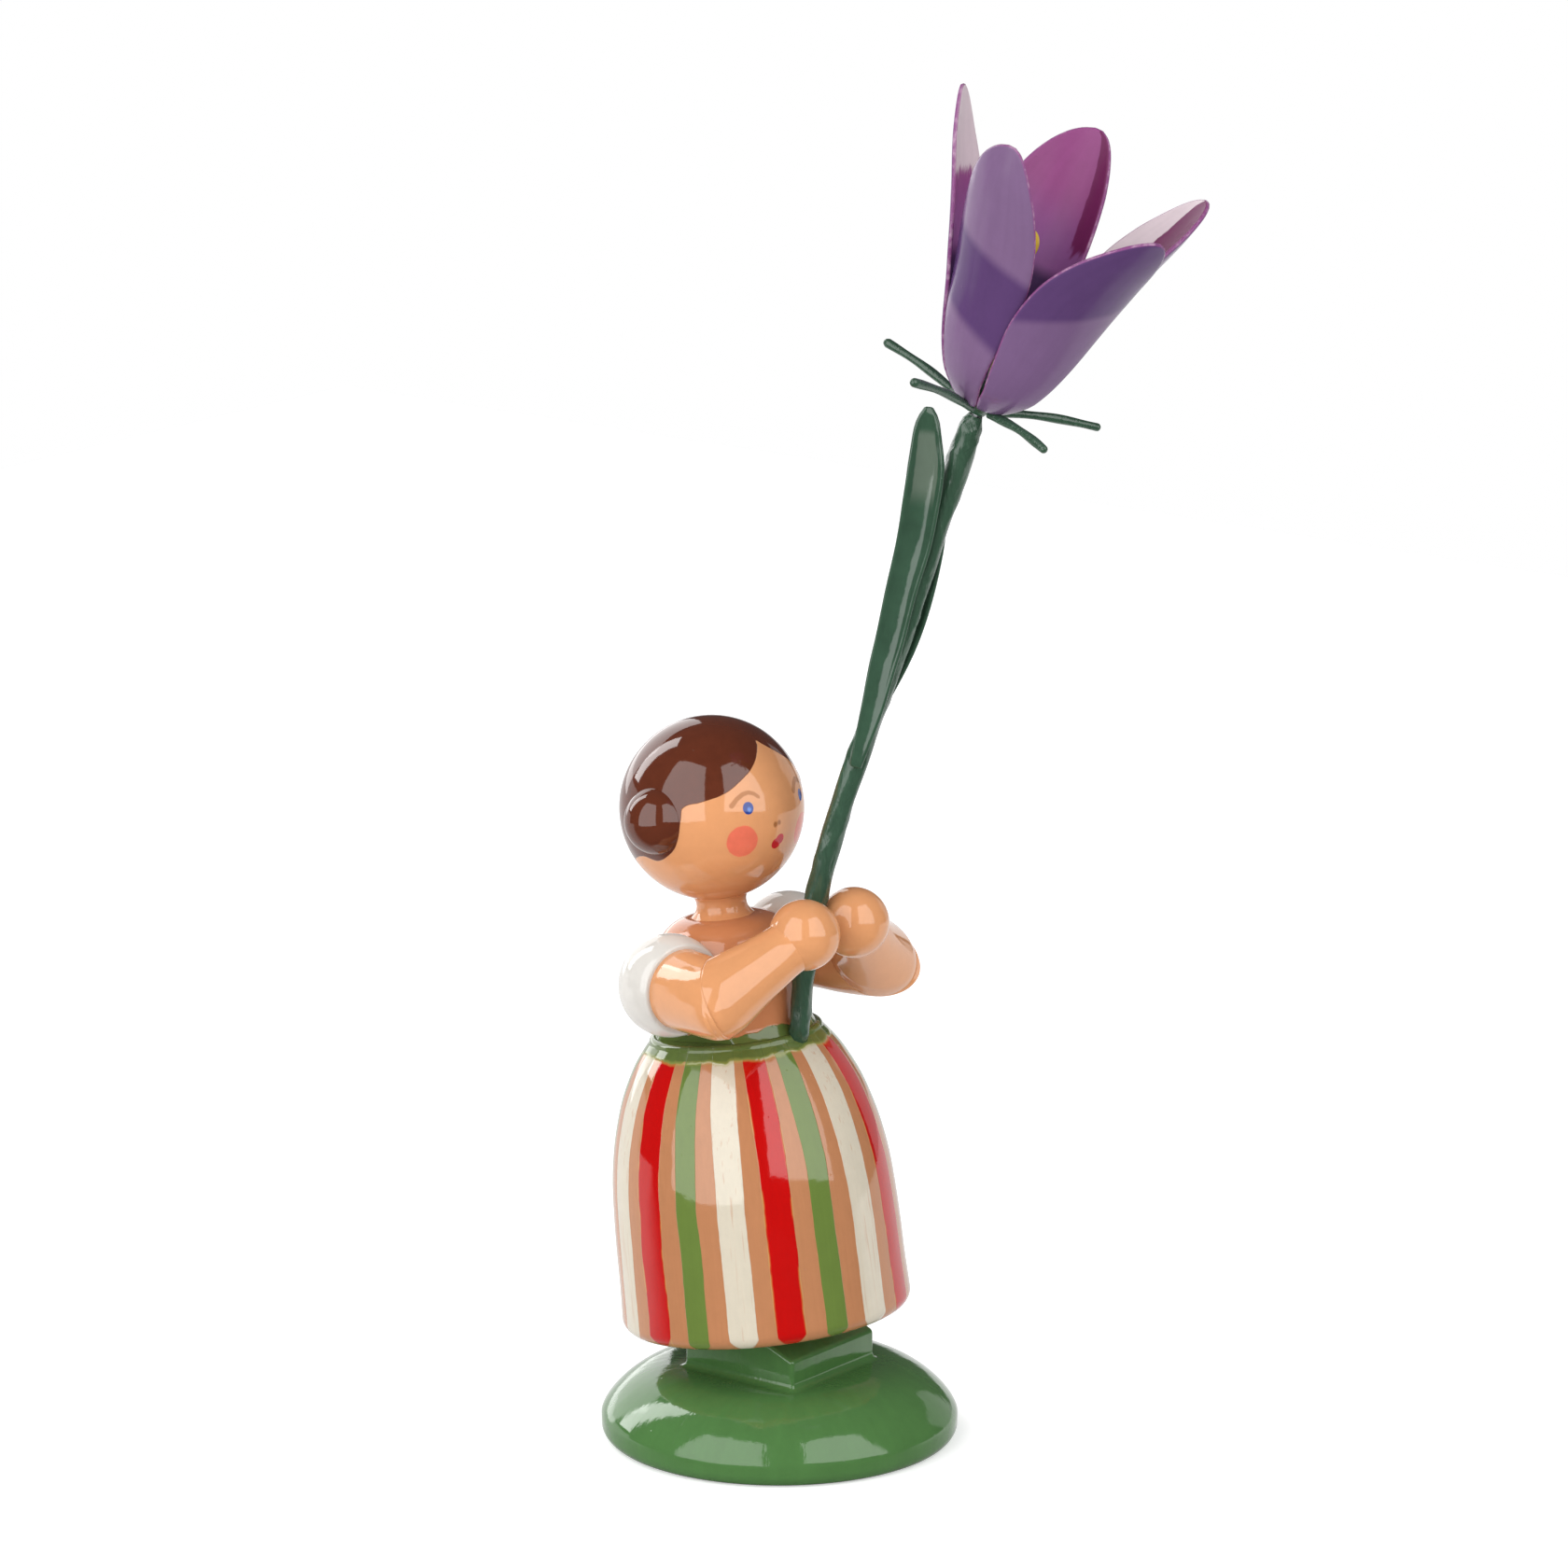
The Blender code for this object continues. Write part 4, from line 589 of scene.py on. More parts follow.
class Paint(Nodes):
    """A material whose patterns follow the place on the piece in its own frame, in
    millimetres. The frame's own nodes and the floor take that place from the object."""

    def __init__(self, name, own=True):
        self.material = bpy.data.materials.new(name)
        self.material.use_nodes = True
        super().__init__(self.material.node_tree)
        self.shader = self.tree.nodes["Principled BSDF"]
        if own:
            self.place = self.attribute("own", "Vector")
        else:
            self.place = self.scaled(self.node("ShaderNodeTexCoord", output="Object"), (1.0 / MM,) * 3)

    def set(self, **inputs):
        """Feed the shader's inputs; an underscore in a name stands for a space."""
        for key, source in inputs.items():
            self.feed(self.shader.inputs[key.replace("_", " ")], source)

    def attribute(self, name, output="Fac"):
        return self.node("ShaderNodeAttribute", output=output, attribute_name=name)

    def scaled(self, vector, factors):
        return self.node("ShaderNodeVectorMath", {0: vector, 1: factors}, operation="MULTIPLY")

    def split(self, vector):
        """The three numbers of a vector."""
        first = self.node("ShaderNodeSeparateXYZ", {0: vector})
        return [Value(self, socket) for socket in first.socket.node.outputs]

    def join(self, x, y=0.0, z=0.0):
        return self.node("ShaderNodeCombineXYZ", enumerate((x, y, z)))

    def noise(self, scale, detail=3.0, roughness=0.5, distortion=0.0, at=None):
        """Noise from about -0.5 to 0.5. The scale is in cycles per unit, and is one number or
        one for each axis."""
        place = self.place if at is None else at
        if isinstance(scale, tuple):
            place, scale = self.scaled(place, scale), 1.0
        inputs = {"Scale": scale, "Detail": detail, "Roughness": roughness, "Distortion": distortion}
        return self.node("ShaderNodeTexNoise", {"Vector": place, **inputs}) - 0.5

    def specks(self, scale, size):
        """1 inside sparse small dots, 0 outside."""
        distance = self.node("ShaderNodeTexVoronoi", {"Vector": self.place, "Scale": scale}, "Distance")
        return self.step(size - distance, 0.5 * size)

    def span(self, value, low, high, to_low=0.0, to_high=1.0):
        """Smooth change from one number to another while the value runs from low to high."""
        inputs = {"Value": value, "From Min": low, "From Max": high, "To Min": to_low, "To Max": to_high}
        return self.node("ShaderNodeMapRange", inputs, "Result", interpolation_type="SMOOTHSTEP")

    def step(self, value, softness):
        """0 below minus the softness, 1 above plus the softness."""
        return self.span(value, -softness, softness)

    def shade(self, colour, amount, contrast, level=1.0):
        """Colour made lighter and darker around a level with a value from -0.5 to 0.5."""
        gain = amount * contrast + level
        return self.mix(1.0, colour, self.join(gain, gain, gain), "MULTIPLY")

    def bump(self, height):
        """Bump from a height in millimetres."""
        self.set(Normal=self.node("ShaderNodeBump", {"Strength": 1.0, "Distance": MM, "Height": height}))

    def lacquer(self, colour, wave=0.02, peel=0.0025, roughness=0.06, relief=0.0, ior=LACQUER_IOR):
        """Gloss lacquer: slow waves, fine orange peel and a few dust specks. The wave, the
        peel and the relief are heights in millimetres."""
        peel_scale, wave_scale, tone_scale, haze_scale = 2.6, 0.35, 0.8, 1.7
        speck_scale, speck_size, speck_height = 0.62, 0.045, 0.012
        contrast, haze = 0.14, 0.05
        orange = self.noise(peel_scale, detail=2.0)
        height = orange * peel + self.noise(wave_scale, detail=1.5) * wave
        height = self.specks(speck_scale, speck_size) * speck_height + height
        self.bump(height + relief)
        tone = self.noise(tone_scale) * 0.7 + orange * 0.3
        self.set(
            Base_Color=self.shade(colour, tone, contrast),
            Roughness=self.noise(haze_scale) * haze + roughness,
            IOR=ior,
        )
        return self.material


def skirt_material():
    """Stripes in cream, green and red on tan, under a brushed green waistband."""
    paint = Paint("skirt_paint")
    pitch, around = 20.0, 18.0
    half_width, green_narrower, wider_above = 6.1, 1.3, 0.9
    drift_bearing, drift_half_period, drift_size, drift_offset = 10.0, 90.0, -2.0, -1.3
    sway_seed, sway_scale, sway_size, wobble = 7.3, 0.16, 2.2, 0.5
    end_seed, end_round, end_ragged, end_height = 3.7, 0.9, 0.9, -0.1
    brush_scale, worn = (3.4, 3.4, 0.07), 0.4
    gold_half_width, gold_strength = 0.42, 0.28
    band_foot, band_ragged, band_scale = 23.6, 1.1, (0.42, 0.42, 0.0)
    rim_half_width, rim_strength = 0.16, 0.4
    band_height, stripe_height = 0.04, 0.02
    x, y, height = paint.split(paint.place)
    bearing = paint.math("ARCTAN2", x * -1.0, y * -1.0) * (180.0 / pi)
    drift = paint.math("COSINE", (bearing - drift_bearing) * (pi / drift_half_period))
    straight = bearing + (drift * drift_size + drift_offset)
    number = paint.math("FLOOR", (straight + 0.5 * pitch) / pitch)
    seed = paint.math("FLOORED_MODULO", number, around)
    kind = paint.math("FLOORED_MODULO", number, 3.0)
    is_cream, is_green, is_red = [paint.math("COMPARE", kind, turn, 0.1) for turn in (0.0, 1.0, 2.0)]
    sway = paint.noise(1.0, detail=1.0, at=paint.join(seed * sway_seed, height * sway_scale))
    offset = sway * sway_size + (straight - number * pitch)
    half = is_green * -green_narrower + half_width
    half = half + paint.span(height, 12.0, 24.0, 0.0, wider_above)
    inside = paint.noise(0.8, detail=2.0) * wobble + half - abs(offset)
    share = offset / 6.0
    tail = paint.noise(1.0, detail=0.0, at=paint.join(seed * end_seed)) * end_ragged + end_height
    tail = share * share * end_round + tail
    mask = paint.step(inside, 0.14) * paint.step(height - tail, 0.12)
    brush = paint.noise(brush_scale)
    stripe = paint.mix(is_red, paint.mix(is_green, CREAM, STRIPE_GREEN), RED)
    thin = paint.span(brush, 0.08, 0.22) * worn * is_cream
    stripe = paint.mix(thin, paint.shade(stripe, brush, 0.1), TAN)
    colour = paint.mix(mask, paint.shade(TAN, brush, 0.12), stripe)
    patchy = paint.span(paint.noise(0.5, detail=1.0), -0.05, 0.15)
    border = paint.step(gold_half_width - abs(inside), 0.3) * patchy * (is_red * gold_strength)
    colour = paint.mix(border, colour, GOLD_EDGE)
    in_band = height - (paint.noise(band_scale) * band_ragged + band_foot)
    splash = paint.step(paint.noise(0.62, detail=1.0) - 0.23, 0.012)
    band = paint.mix(splash, paint.shade(WAIST_GREEN, paint.noise(0.9), 0.35, 0.975), TAN)
    colour = paint.mix(paint.step(in_band, 0.07), colour, band)
    rim = paint.step(rim_half_width - abs(in_band), 0.1)
    colour = paint.mix(rim * rim_strength, colour, BAND_EDGE)
    relief = paint.step(in_band, 0.1) * band_height + mask * stripe_height
    return paint.lacquer(colour, wave=0.03, relief=relief)


def bodice_material():
    """Tan lacquer with the waistband's green brushed up its foot."""
    paint = Paint("bodice_paint")
    band_top, ragged, band_height = SKIRT_HEIGHT + 0.9, 1.6, 0.03
    height = paint.split(paint.place)[2]
    band = paint.step(paint.noise(0.45) * ragged + band_top - height, 0.06)
    return paint.lacquer(paint.mix(band, BODICE_TAN, WAIST_GREEN), relief=band * band_height)


def head_material():
    """Skin with painted hair, brows, eyes, nose, cheeks and mouth."""
    paint = Paint("head_paint")
    edge_wobble, cheek_wobble, hair_height = 0.06, 0.14, 0.03
    uneven = paint.noise(1.4) * edge_wobble
    cloudy = paint.noise(2.2)
    features = (
        ("cheek", cloudy * cheek_wobble, 0.08, 0.8, paint.shade(CHEEK, cloudy, 0.2)),
        ("nose", uneven, 0.09, 0.75, NOSE),
        ("brow", uneven, 0.07, 0.95, BROW),
        ("mouth", uneven, 0.04, 1.0, paint.shade(MOUTH, cloudy, 0.8, 1.1)),
        ("eye", uneven, 0.035, 1.0, EYE_BLUE),
        ("glint", uneven, 0.1, 1.0, EYE_GLINT),
        ("hair", uneven, 0.035, 1.0, paint.shade(HAIR, paint.noise(0.9), 0.3)),
    )
    colour = SKIN
    for name, wobble, softness, strength, tint in features:
        mask = paint.step(wobble - paint.attribute(name), softness)
        colour = paint.mix(mask * strength, colour, tint)
    return paint.lacquer(colour, relief=mask * hair_height)


def petal_material():
    """Purple outside with a paler zone, magenta inside with a deep foot and a pale tip.

    The paler zone and the pale tip are painted reflections, and the pale specks on the rims are
    painted highlights.
    """
    paint = Paint("petal_paint")
    deep_foot, purple_middle, rim, highlight_span = (0.47, 0.53), (0.56, 0.8), (0.65, 1.0), (0.95, 1.2)
    tip_reflection_strength, rim_strength, highlight_strength = 0.9, 0.8, 0.6
    rough_inside, rough_outside = 0.4, 0.2
    length, edge = paint.attribute("length"), paint.attribute("edge")
    # Painted reflection: the paler zone on the outside of the petal.
    zone = paint.step(paint.attribute("outside_reflection_zone"), 0.025) * paint.attribute("outside_reflection_strength")
    outside = paint.mix(zone, PETAL_OUTSIDE, PETAL_OUTSIDE_REFLECTION)
    inside = paint.mix(paint.span(length, *purple_middle), PETAL_PURPLE, PETAL_INSIDE)
    inside = paint.mix(paint.span(length, *deep_foot), PETAL_DEEP, inside)
    jagged = paint.noise((1.6, 1.6, 0.5)) * 0.1
    inside = paint.mix(paint.step(paint.attribute("strip_zone") + jagged, 0.02), inside, PETAL_STRIP)
    # Painted reflection: the pale tip on the inside of the petal.
    pale = paint.step(paint.attribute("tip_reflection_zone") + jagged, 0.02)
    inside = paint.mix(pale * tip_reflection_strength, inside, PETAL_TIP_REFLECTION)
    is_outside = paint.span(paint.attribute("side"), -0.5, 0.3)
    streak = paint.noise(1.0, at=paint.join(paint.attribute("across") * 6.0, length * 2.0))
    colour = paint.shade(paint.mix(is_outside, inside, outside), streak, 0.14)
    colour = paint.mix(paint.span(edge, *rim) * rim_strength, colour, PETAL_RIM)
    # Painted highlights: pale specks along the rim, where the rounded rim would catch the light.
    rim_highlights = paint.noise(1.2, roughness=0.6) * 0.9 + edge
    colour = paint.mix(paint.span(rim_highlights, *highlight_span) * highlight_strength, colour, PETAL_RIM_HIGHLIGHT)
    rough = is_outside * (rough_outside - rough_inside) + rough_inside
    return paint.lacquer(colour, wave=0.05, peel=0.003, roughness=rough, ior=PETAL_IOR)


def stem_material():
    """Dark green lacquer over wound paper: slanting folds and fine fibres."""
    paint = Paint("stem_paint")
    fibre_height, fold_height = 0.05, 0.08
    fibre_scale, fold_scale, pale_fibres = (3.2, 3.2, 0.9), (1.1, 1.1, 0.45), 0.28
    fibres = paint.noise(fibre_scale, detail=4.0, roughness=0.6)
    folds = paint.noise(fold_scale, detail=2.0, distortion=1.2)
    colour = paint.shade(STEM_GREEN, folds, 0.55, 1.025)
    colour = paint.mix(paint.span(fibres, 0.1, 0.3, 0.0, pale_fibres), colour, FIBRE_GREEN)
    relief = folds * fold_height + fibres * fibre_height
    return paint.lacquer(colour, wave=0.05, peel=0.006, roughness=0.16, relief=relief)


def leaf_material():
    """Glossy dark green sheet with a painted reflection: a pale patch in the hollow below the tip."""
    paint = Paint("leaf_paint")
    reflection_foot, reflection_top, reflection_side = (0.72, 0.79), (0.95, 0.925), (0.78, 0.66)
    ragged, strength, fibre_height = 0.12, 0.85, 0.008
    length, across = paint.attribute("length"), paint.attribute("across")
    # Painted reflection: a pale patch in the middle of the leaf below its tip.
    reflection = paint.span(length, *reflection_foot) * paint.span(length, *reflection_top)
    reflection = reflection * paint.span(abs(across) - paint.noise(1.2) * ragged, *reflection_side)
    colour = paint.shade(STEM_GREEN, paint.noise(0.5), 0.5)
    fibres = paint.noise((3.2, 3.2, 0.6), detail=4.0, roughness=0.6)
    colour = paint.mix(reflection * strength, colour, LEAF_REFLECTION)
    return paint.lacquer(colour, wave=0.06, roughness=0.08, relief=fibres * fibre_height)


def base_material():
    """Green lacquer, brushed on in curved strokes over the turned dome."""
    paint = Paint("base_paint")
    strokes_out, strokes_around, stroke_height = 0.3, 9.0, 0.022
    x, y, _ = paint.split(paint.place)
    out = paint.node("ShaderNodeVectorMath", {0: paint.join(x, y)}, 1, operation="LENGTH")
    place = paint.join(out * strokes_out, paint.math("ARCTAN2", y, x) * strokes_around)
    strokes = paint.noise(1.0, detail=4.0, roughness=0.6, at=place)
    colour = paint.shade(BASE_GREEN, strokes, 0.24)
    return paint.lacquer(colour, wave=0.05, peel=0.006, roughness=0.08, relief=strokes * stroke_height)


def wood_material():
    """Bare beech with fine rays along the grain."""
    paint = Paint("beech_grain", own=False)
    grain = paint.noise((4.0, 4.0, 0.4), detail=4.0, roughness=0.6)
    paint.set(Base_Color=paint.shade(BEECH, grain, 0.4, 0.95), Roughness=0.6)
    paint.bump(grain * 0.02)
    return paint.material


def wire_material():
    """Drawn steel wire with fine scratches along it."""
    paint = Paint("wire_scratches", own=False)
    scratch = paint.noise((9.0, 9.0, 0.3))
    paint.set(Base_Color=paint.shade(STEEL, scratch, 0.3, 0.95), Metallic=1.0, Roughness=scratch * 0.2 + 0.35)
    paint.bump(scratch * 0.01)
    return paint.material


# Base, block, skirt, bodice and neck
def build_base(material):
    foot = (BASE_RADIUS - BASE_EDGE_ROUND, BASE_EDGE_ROUND)
    profile = [(0.0, 0.0)] + arc(foot, BASE_EDGE_ROUND, -QUARTER_TURN, 0.0, 9)
    profile.append((BASE_RADIUS, 0.5 * (BASE_EDGE_ROUND + BASE_RIM_HEIGHT)))
    for share in shares(40):
        radius = BASE_RADIUS - (BASE_RADIUS - BASE_SEAT_RADIUS) * share
        rise = (1.0 - (1.0 - share) ** 2) ** BASE_DOME_FULLNESS
        profile.append((radius, BASE_RIM_HEIGHT + (BASE_SEAT_HEIGHT - BASE_RIM_HEIGHT) * rise))
    profile += [(BASE_SEAT_RADIUS * (1.0 - share), BASE_SEAT_HEIGHT) for share in shares(6)[1:]]
    add_piece("base_disc", lathe(profile, segments=192), ROW, material)


def build_foot_block(material):
    half = 0.5 * BLOCK_SIDE
    bottom = BASE_SEAT_HEIGHT - BLOCK_SINK
    toe_top = BASE_SEAT_HEIGHT + GLUE_GAP + BLOCK_FRONT_HEIGHT
    seat_slope = -tan(LEAN_BACK)
    seat_at_origin = BASE_SEAT_HEIGHT + BLOCK_HEIGHT - seat_slope * FIGURE_SETBACK
    instep = tan(BLOCK_FRONT_SLOPE)
    ridge = (seat_at_origin - toe_top - instep * half) / (instep - seat_slope)
    outline = [
        (-half, bottom), (-half, toe_top), (ridge, seat_at_origin + seat_slope * ridge),
        (half, seat_at_origin + seat_slope * half), (half, bottom),
    ]
    shape = bmesh.new()
    face = shape.faces.new([shape.verts.new((-half, y, z)) for y, z in outline])
    moved = bmesh.ops.extrude_face_region(shape, geom=[face])
    far_side = [item for item in moved["geom"] if isinstance(item, bmesh.types.BMVert)]
    bmesh.ops.translate(shape, verts=far_side, vec=(BLOCK_SIDE, 0.0, 0.0))
    edges = list(shape.edges)
    bmesh.ops.bevel(shape, geom=edges, offset=BLOCK_EDGE_RADIUS, segments=5, profile=0.5, affect="EDGES")
    verts, faces = in_fixed_order(shape)
    shape.free()
    bead_verts, bead_faces = paint_bead()
    faces += [tuple(len(verts) + corner for corner in face) for face in bead_faces]
    add_piece("foot_block", (verts + bead_verts, faces), ROW, material, sharp=40.0)


def in_fixed_order(shape):
    """Sorted points and faces of a mesh, because a bevel's own order can change between runs."""
    digits = 5
    place = {vert: tuple(round(value, digits) for value in vert.co) for vert in shape.verts}
    verts = sorted(place.values())
    number = {vert: index for index, vert in enumerate(verts)}
    faces = []
    for face in shape.faces:
        corners = [number[place[vert]] for vert in face.verts]
        first = corners.index(min(corners))
        faces.append(tuple(corners[first:] + corners[:first]))
    return verts, sorted(faces)


def paint_bead():
    """Ring of lacquer gathered in the corner between the block and the base."""
    section = arc((BLOCK_BEAD, BLOCK_BEAD), BLOCK_BEAD, -QUARTER_TURN, -pi, 6)
    section += [(-BEAD_INSET, BLOCK_BEAD), (-BEAD_INSET, -BEAD_SINK), (BLOCK_BEAD, -BEAD_SINK)]
    diagonal = (0.5 * BLOCK_SIDE - BLOCK_EDGE_RADIUS) * sqrt(2.0)
    rings = []
    for quarter in range(4):
        corner = plan_direction(90.0 * quarter + 45.0) * diagonal + UP * BASE_SEAT_HEIGHT
        for share in shares(6):
            side = plan_direction(90.0 * (quarter + share))
            rings.append([corner + side * (BLOCK_EDGE_RADIUS + out) + UP * rise for out, rise in section])
    return tube(rings, closed=True)


def skirt_wall(height):
    return sample(SKIRT_TEMPLATE, height / SKIRT_HEIGHT) * SKIRT_HEM_RADIUS


def build_skirt():
    hem = (skirt_wall(SKIRT_HEM_ROUND) - SKIRT_HEM_ROUND, SKIRT_HEM_ROUND)
    profile = [(0.0, 0.0), (4.0, 0.0), (8.0, 0.0)] + arc(hem, SKIRT_HEM_ROUND, -QUARTER_TURN, 0.0, 10)
    shoulder, crowding, shoulder_angle = SKIRT_HEIGHT - SKIRT_SHOULDER_DROP, 1.4, 0.15
    for share in shares(60)[1:]:
        height = SKIRT_HEM_ROUND + (shoulder - SKIRT_HEM_ROUND) * (1.0 - (1.0 - share) ** crowding)
        profile.append((skirt_wall(height), height))
    top = (skirt_wall(shoulder) - SKIRT_TOP_ROUND, shoulder)
    profile += arc(top, SKIRT_TOP_ROUND, shoulder_angle, QUARTER_TURN, 6)
    crown = profile[-1][1]
    profile += [(5.4, crown), (3.0, crown), (0.0, crown)]
    add_piece("skirt", lathe(profile, segments=288), FIGURE, skirt_material(), sharp=50.0)


def build_bodice():
    chest, top = SKIRT_HEIGHT + BODICE_CHEST_HEIGHT, SKIRT_HEIGHT + BODICE_HEIGHT
    foot, waist, waist_height = SKIRT_HEIGHT - 0.6, SKIRT_HEIGHT - 0.15, 1.5
    profile = [(0.0, foot), (3.0, foot)]
    for share in shares(8):
        radius = BODICE_WAIST_RADIUS - BODICE_WAIST_FLARE * (1.0 - (1.0 - share) ** 2)
        profile.append((radius, waist + waist_height * share))
    profile.append((BODICE_CHEST_RADIUS, chest))
    for share in shares(28)[1:]:
        angle = QUARTER_TURN * share
        spread = cos(angle) ** BODICE_FULLNESS
        radius = BODICE_TOP_RADIUS + (BODICE_CHEST_RADIUS - BODICE_TOP_RADIUS) * spread
        profile.append((radius, chest + (top - chest) * sin(angle)))
    verts, faces = lathe(profile + [(0.0, top)], segments=160)
    limit = SHOULDER_FLAT_OFFSET
    verts = [(min(max(x, -limit), limit), y, z) for x, y, z in verts]
    add_piece("bodice", (verts, faces), FIGURE, bodice_material(), sharp=50.0)


def head_centre():
    neck_foot = SKIRT_HEIGHT + NECK_SEAT_HEIGHT + 2.0 * GLUE_GAP
    seat_depth = sqrt(HEAD_RADIUS ** 2 - HEAD_SEAT_RADIUS ** 2)
    return UP * (neck_foot + NECK_LENGTH + GLUE_GAP + seat_depth) + HEAD_SHIFT


def build_neck(skin):
    bottom = SKIRT_HEIGHT + BODICE_HEIGHT - NECK_OVERLAP
    top = head_centre().z - NECK_TOP_BELOW_HEAD
    profile = [(0.0, bottom)]
    for share in shares(24):
        low, high = max(0.0, 1.0 - 2.0 * share), max(0.0, (share - 0.55) / 0.45)
        radius = NECK_RADIUS + NECK_FLARE * (low ** 2 + high ** 2)
        profile.append((radius, bottom + (top - bottom) * share))
    add_piece("neck", lathe(profile + [(0.0, top)], segments=96), FIGURE, skin)


# Head
HAIRLINE = (
    (-180.0, -37.0), (-140.0, -33.0), (-117.0, -26.0), (-103.0, -19.0), (-84.0, -19.5), (-70.0, -9.0),
    (-66.5, 4.0), (-65.0, 10.0), (-52.0, 13.0), (-42.0, 17.5), (-32.9, 23.4), (-24.4, 29.8), (-12.8, 38.8),
    (-6.5, 44.8), (-4.1, 47.8), (-0.5, 44.6), (7.3, 38.4), (17.4, 30.7), (27.4, 24.9), (42.1, 17.5),
    (57.6, 14.0), (69.6, 11.0), (71.4, 2.5), (74.8, -8.8), (80.6, -16.5), (93.9, -23.0), (108.1, -20.7),
    (126.2, -25.4), (145.0, -34.0), (180.0, -37.0),
)
BROWS = (
    ((38.5, 9.6), (34.5, 13.2), (30.0, 15.6), (26.0, 16.2), (22.5, 14.8), (19.5, 12.1)),
    ((-33.0, 8.8), (-29.0, 12.4), (-24.5, 14.6), (-20.5, 15.0), (-17.0, 13.2), (-13.6, 9.4)),
)
BROW_HALF_WIDTHS = ((0.21, 0.15), (0.18, 0.28))

# Painted spots: bearing, latitude, half width and half height in millimetres
SPOTS = {
    "cheek": ((33.7, -13.8, 1.37, 1.37), (-23.0, -16.5, 1.37, 1.37)),
    "eye": ((28.0, 6.6, 0.48, 0.53), (-23.0, 4.6, 0.48, 0.53)),
    "glint": ((27.4, 5.7, 0.17, 0.2), (-22.4, 3.7, 0.17, 0.2)),
    "nose": ((9.4, -7.2, 0.21, 0.25), (6.0, -6.6, 0.18, 0.22)),
    "mouth": ((7.9, -20.0, 0.5, 0.48), (4.7, -17.6, 0.46, 0.46)),
}


def spot(points, bearing, latitude, half_width, half_height):
    """Signed distance (mm) from points on the head to an ellipse painted on it."""
    centre = np.array(bearing_vector(bearing, latitude)) * HEAD_RADIUS
    out = centre / np.linalg.norm(centre)
    right = np.cross(np.array((0.0, 0.0, 1.0)), out)
    right /= np.linalg.norm(right)
    up = np.cross(out, right)
    offset = points - centre
    reach = np.hypot(offset @ right / half_width, offset @ up / half_height)
    behind = (points @ out < 0.0) * HEAD_RADIUS
    return (reach - 1.0) * min(half_width, half_height) + behind


def line_distance(points, line, half_start=0.0, half_end=0.0):
    """Signed distance (mm) from points on the head to a tapering brush stroke."""
    places = [np.array(bearing_vector(*place)) * HEAD_RADIUS for place in line]
    best = np.full(len(points), 3.0 * HEAD_RADIUS)
    for index, (start, end) in enumerate(zip(places, places[1:])):
        run = end - start
        share = np.clip((points - start) @ run / (run @ run), 0.0, 1.0)
        position = (index + share) / (len(places) - 1)
        half = half_start + (half_end - half_start) * position
        best = np.minimum(best, np.linalg.norm(points - start - share[:, None] * run, axis=1) - half)
    return best


def hair_distance(points):
    """Signed distance (mm) to the hairline, negative inside the hair."""
    turns = []
    for (start, _), (end, _) in zip(HAIRLINE, HAIRLINE[1:]):
        turns += [start + (end - start) * share for share in shares(8)[:-1]]
    turns.append(HAIRLINE[-1][0])
    heights = [sample(HAIRLINE, turn) for turn in turns]
    distance = line_distance(points, list(zip(turns, heights)))
    bearings = np.degrees(np.arctan2(-points[:, 0], -points[:, 1]))
    latitudes = np.degrees(np.arcsin(np.clip(points[:, 2] / HEAD_RADIUS, -1.0, 1.0)))
    return np.where(latitudes > np.interp(bearings, turns, heights), -distance, distance)


def build_head():
    seat_angle, crown_angle = 0.25, 0.004
    profile = arc((0.0, 0.0), HEAD_RADIUS, -QUARTER_TURN + seat_angle, QUARTER_TURN - crown_angle, 150)
    profile = [(0.0, profile[0][1])] + profile + [(0.0, HEAD_RADIUS)]
    form = lathe(profile, segments=300)
    points = np.array(form[0])
    attributes = {}
    for name, (first, second) in SPOTS.items():
        attributes[name] = np.minimum(spot(points, *first), spot(points, *second))
    strokes = [line_distance(points, line, *halves) for line, halves in zip(BROWS, BROW_HALF_WIDTHS)]
    attributes["brow"] = np.minimum(*strokes)
    attributes["hair"] = hair_distance(points)
    matrix = FIGURE @ Matrix.Translation(head_centre())
    add_piece("head", form, matrix, head_material(), attributes=attributes)


def build_buns(hair):
    form = lathe(ball_profile(BUN_RADIUS, 48), segments=96)
    for label, bearing in BUN_BEARINGS.items():
        direction = bearing_vector(bearing, BUN_LIFT)
        centre = head_centre() + direction * BUN_DISTANCE
        matrix = FIGURE @ frame_from(centre, direction, BACKWARD)
        add_piece("hair_bun_" + label, form, matrix, hair)


# Arms
SIDES = {"right": -1.0, "left": 1.0}


def sleeve_centre(label):
    outward = SIDES[label] * (SHOULDER_FLAT_OFFSET + SLEEVE_STANDOFF)
    return Vector((outward, -SLEEVE_FORWARD, SKIRT_HEIGHT + SLEEVE_RISE))


def elbow_point(label):
    return sleeve_centre(label) + Vector((SIDES[label] * ELBOW_OUT, -ELBOW_FORWARD, -ELBOW_DROP[label]))


def hand_centre(label):
    height = SKIRT_HEIGHT + SLEEVE_RISE + HAND_RISE[label]
    return Vector((SIDES[label] * HAND_FROM_MIDDLE, -SLEEVE_FORWARD - HAND_FORWARD, height))


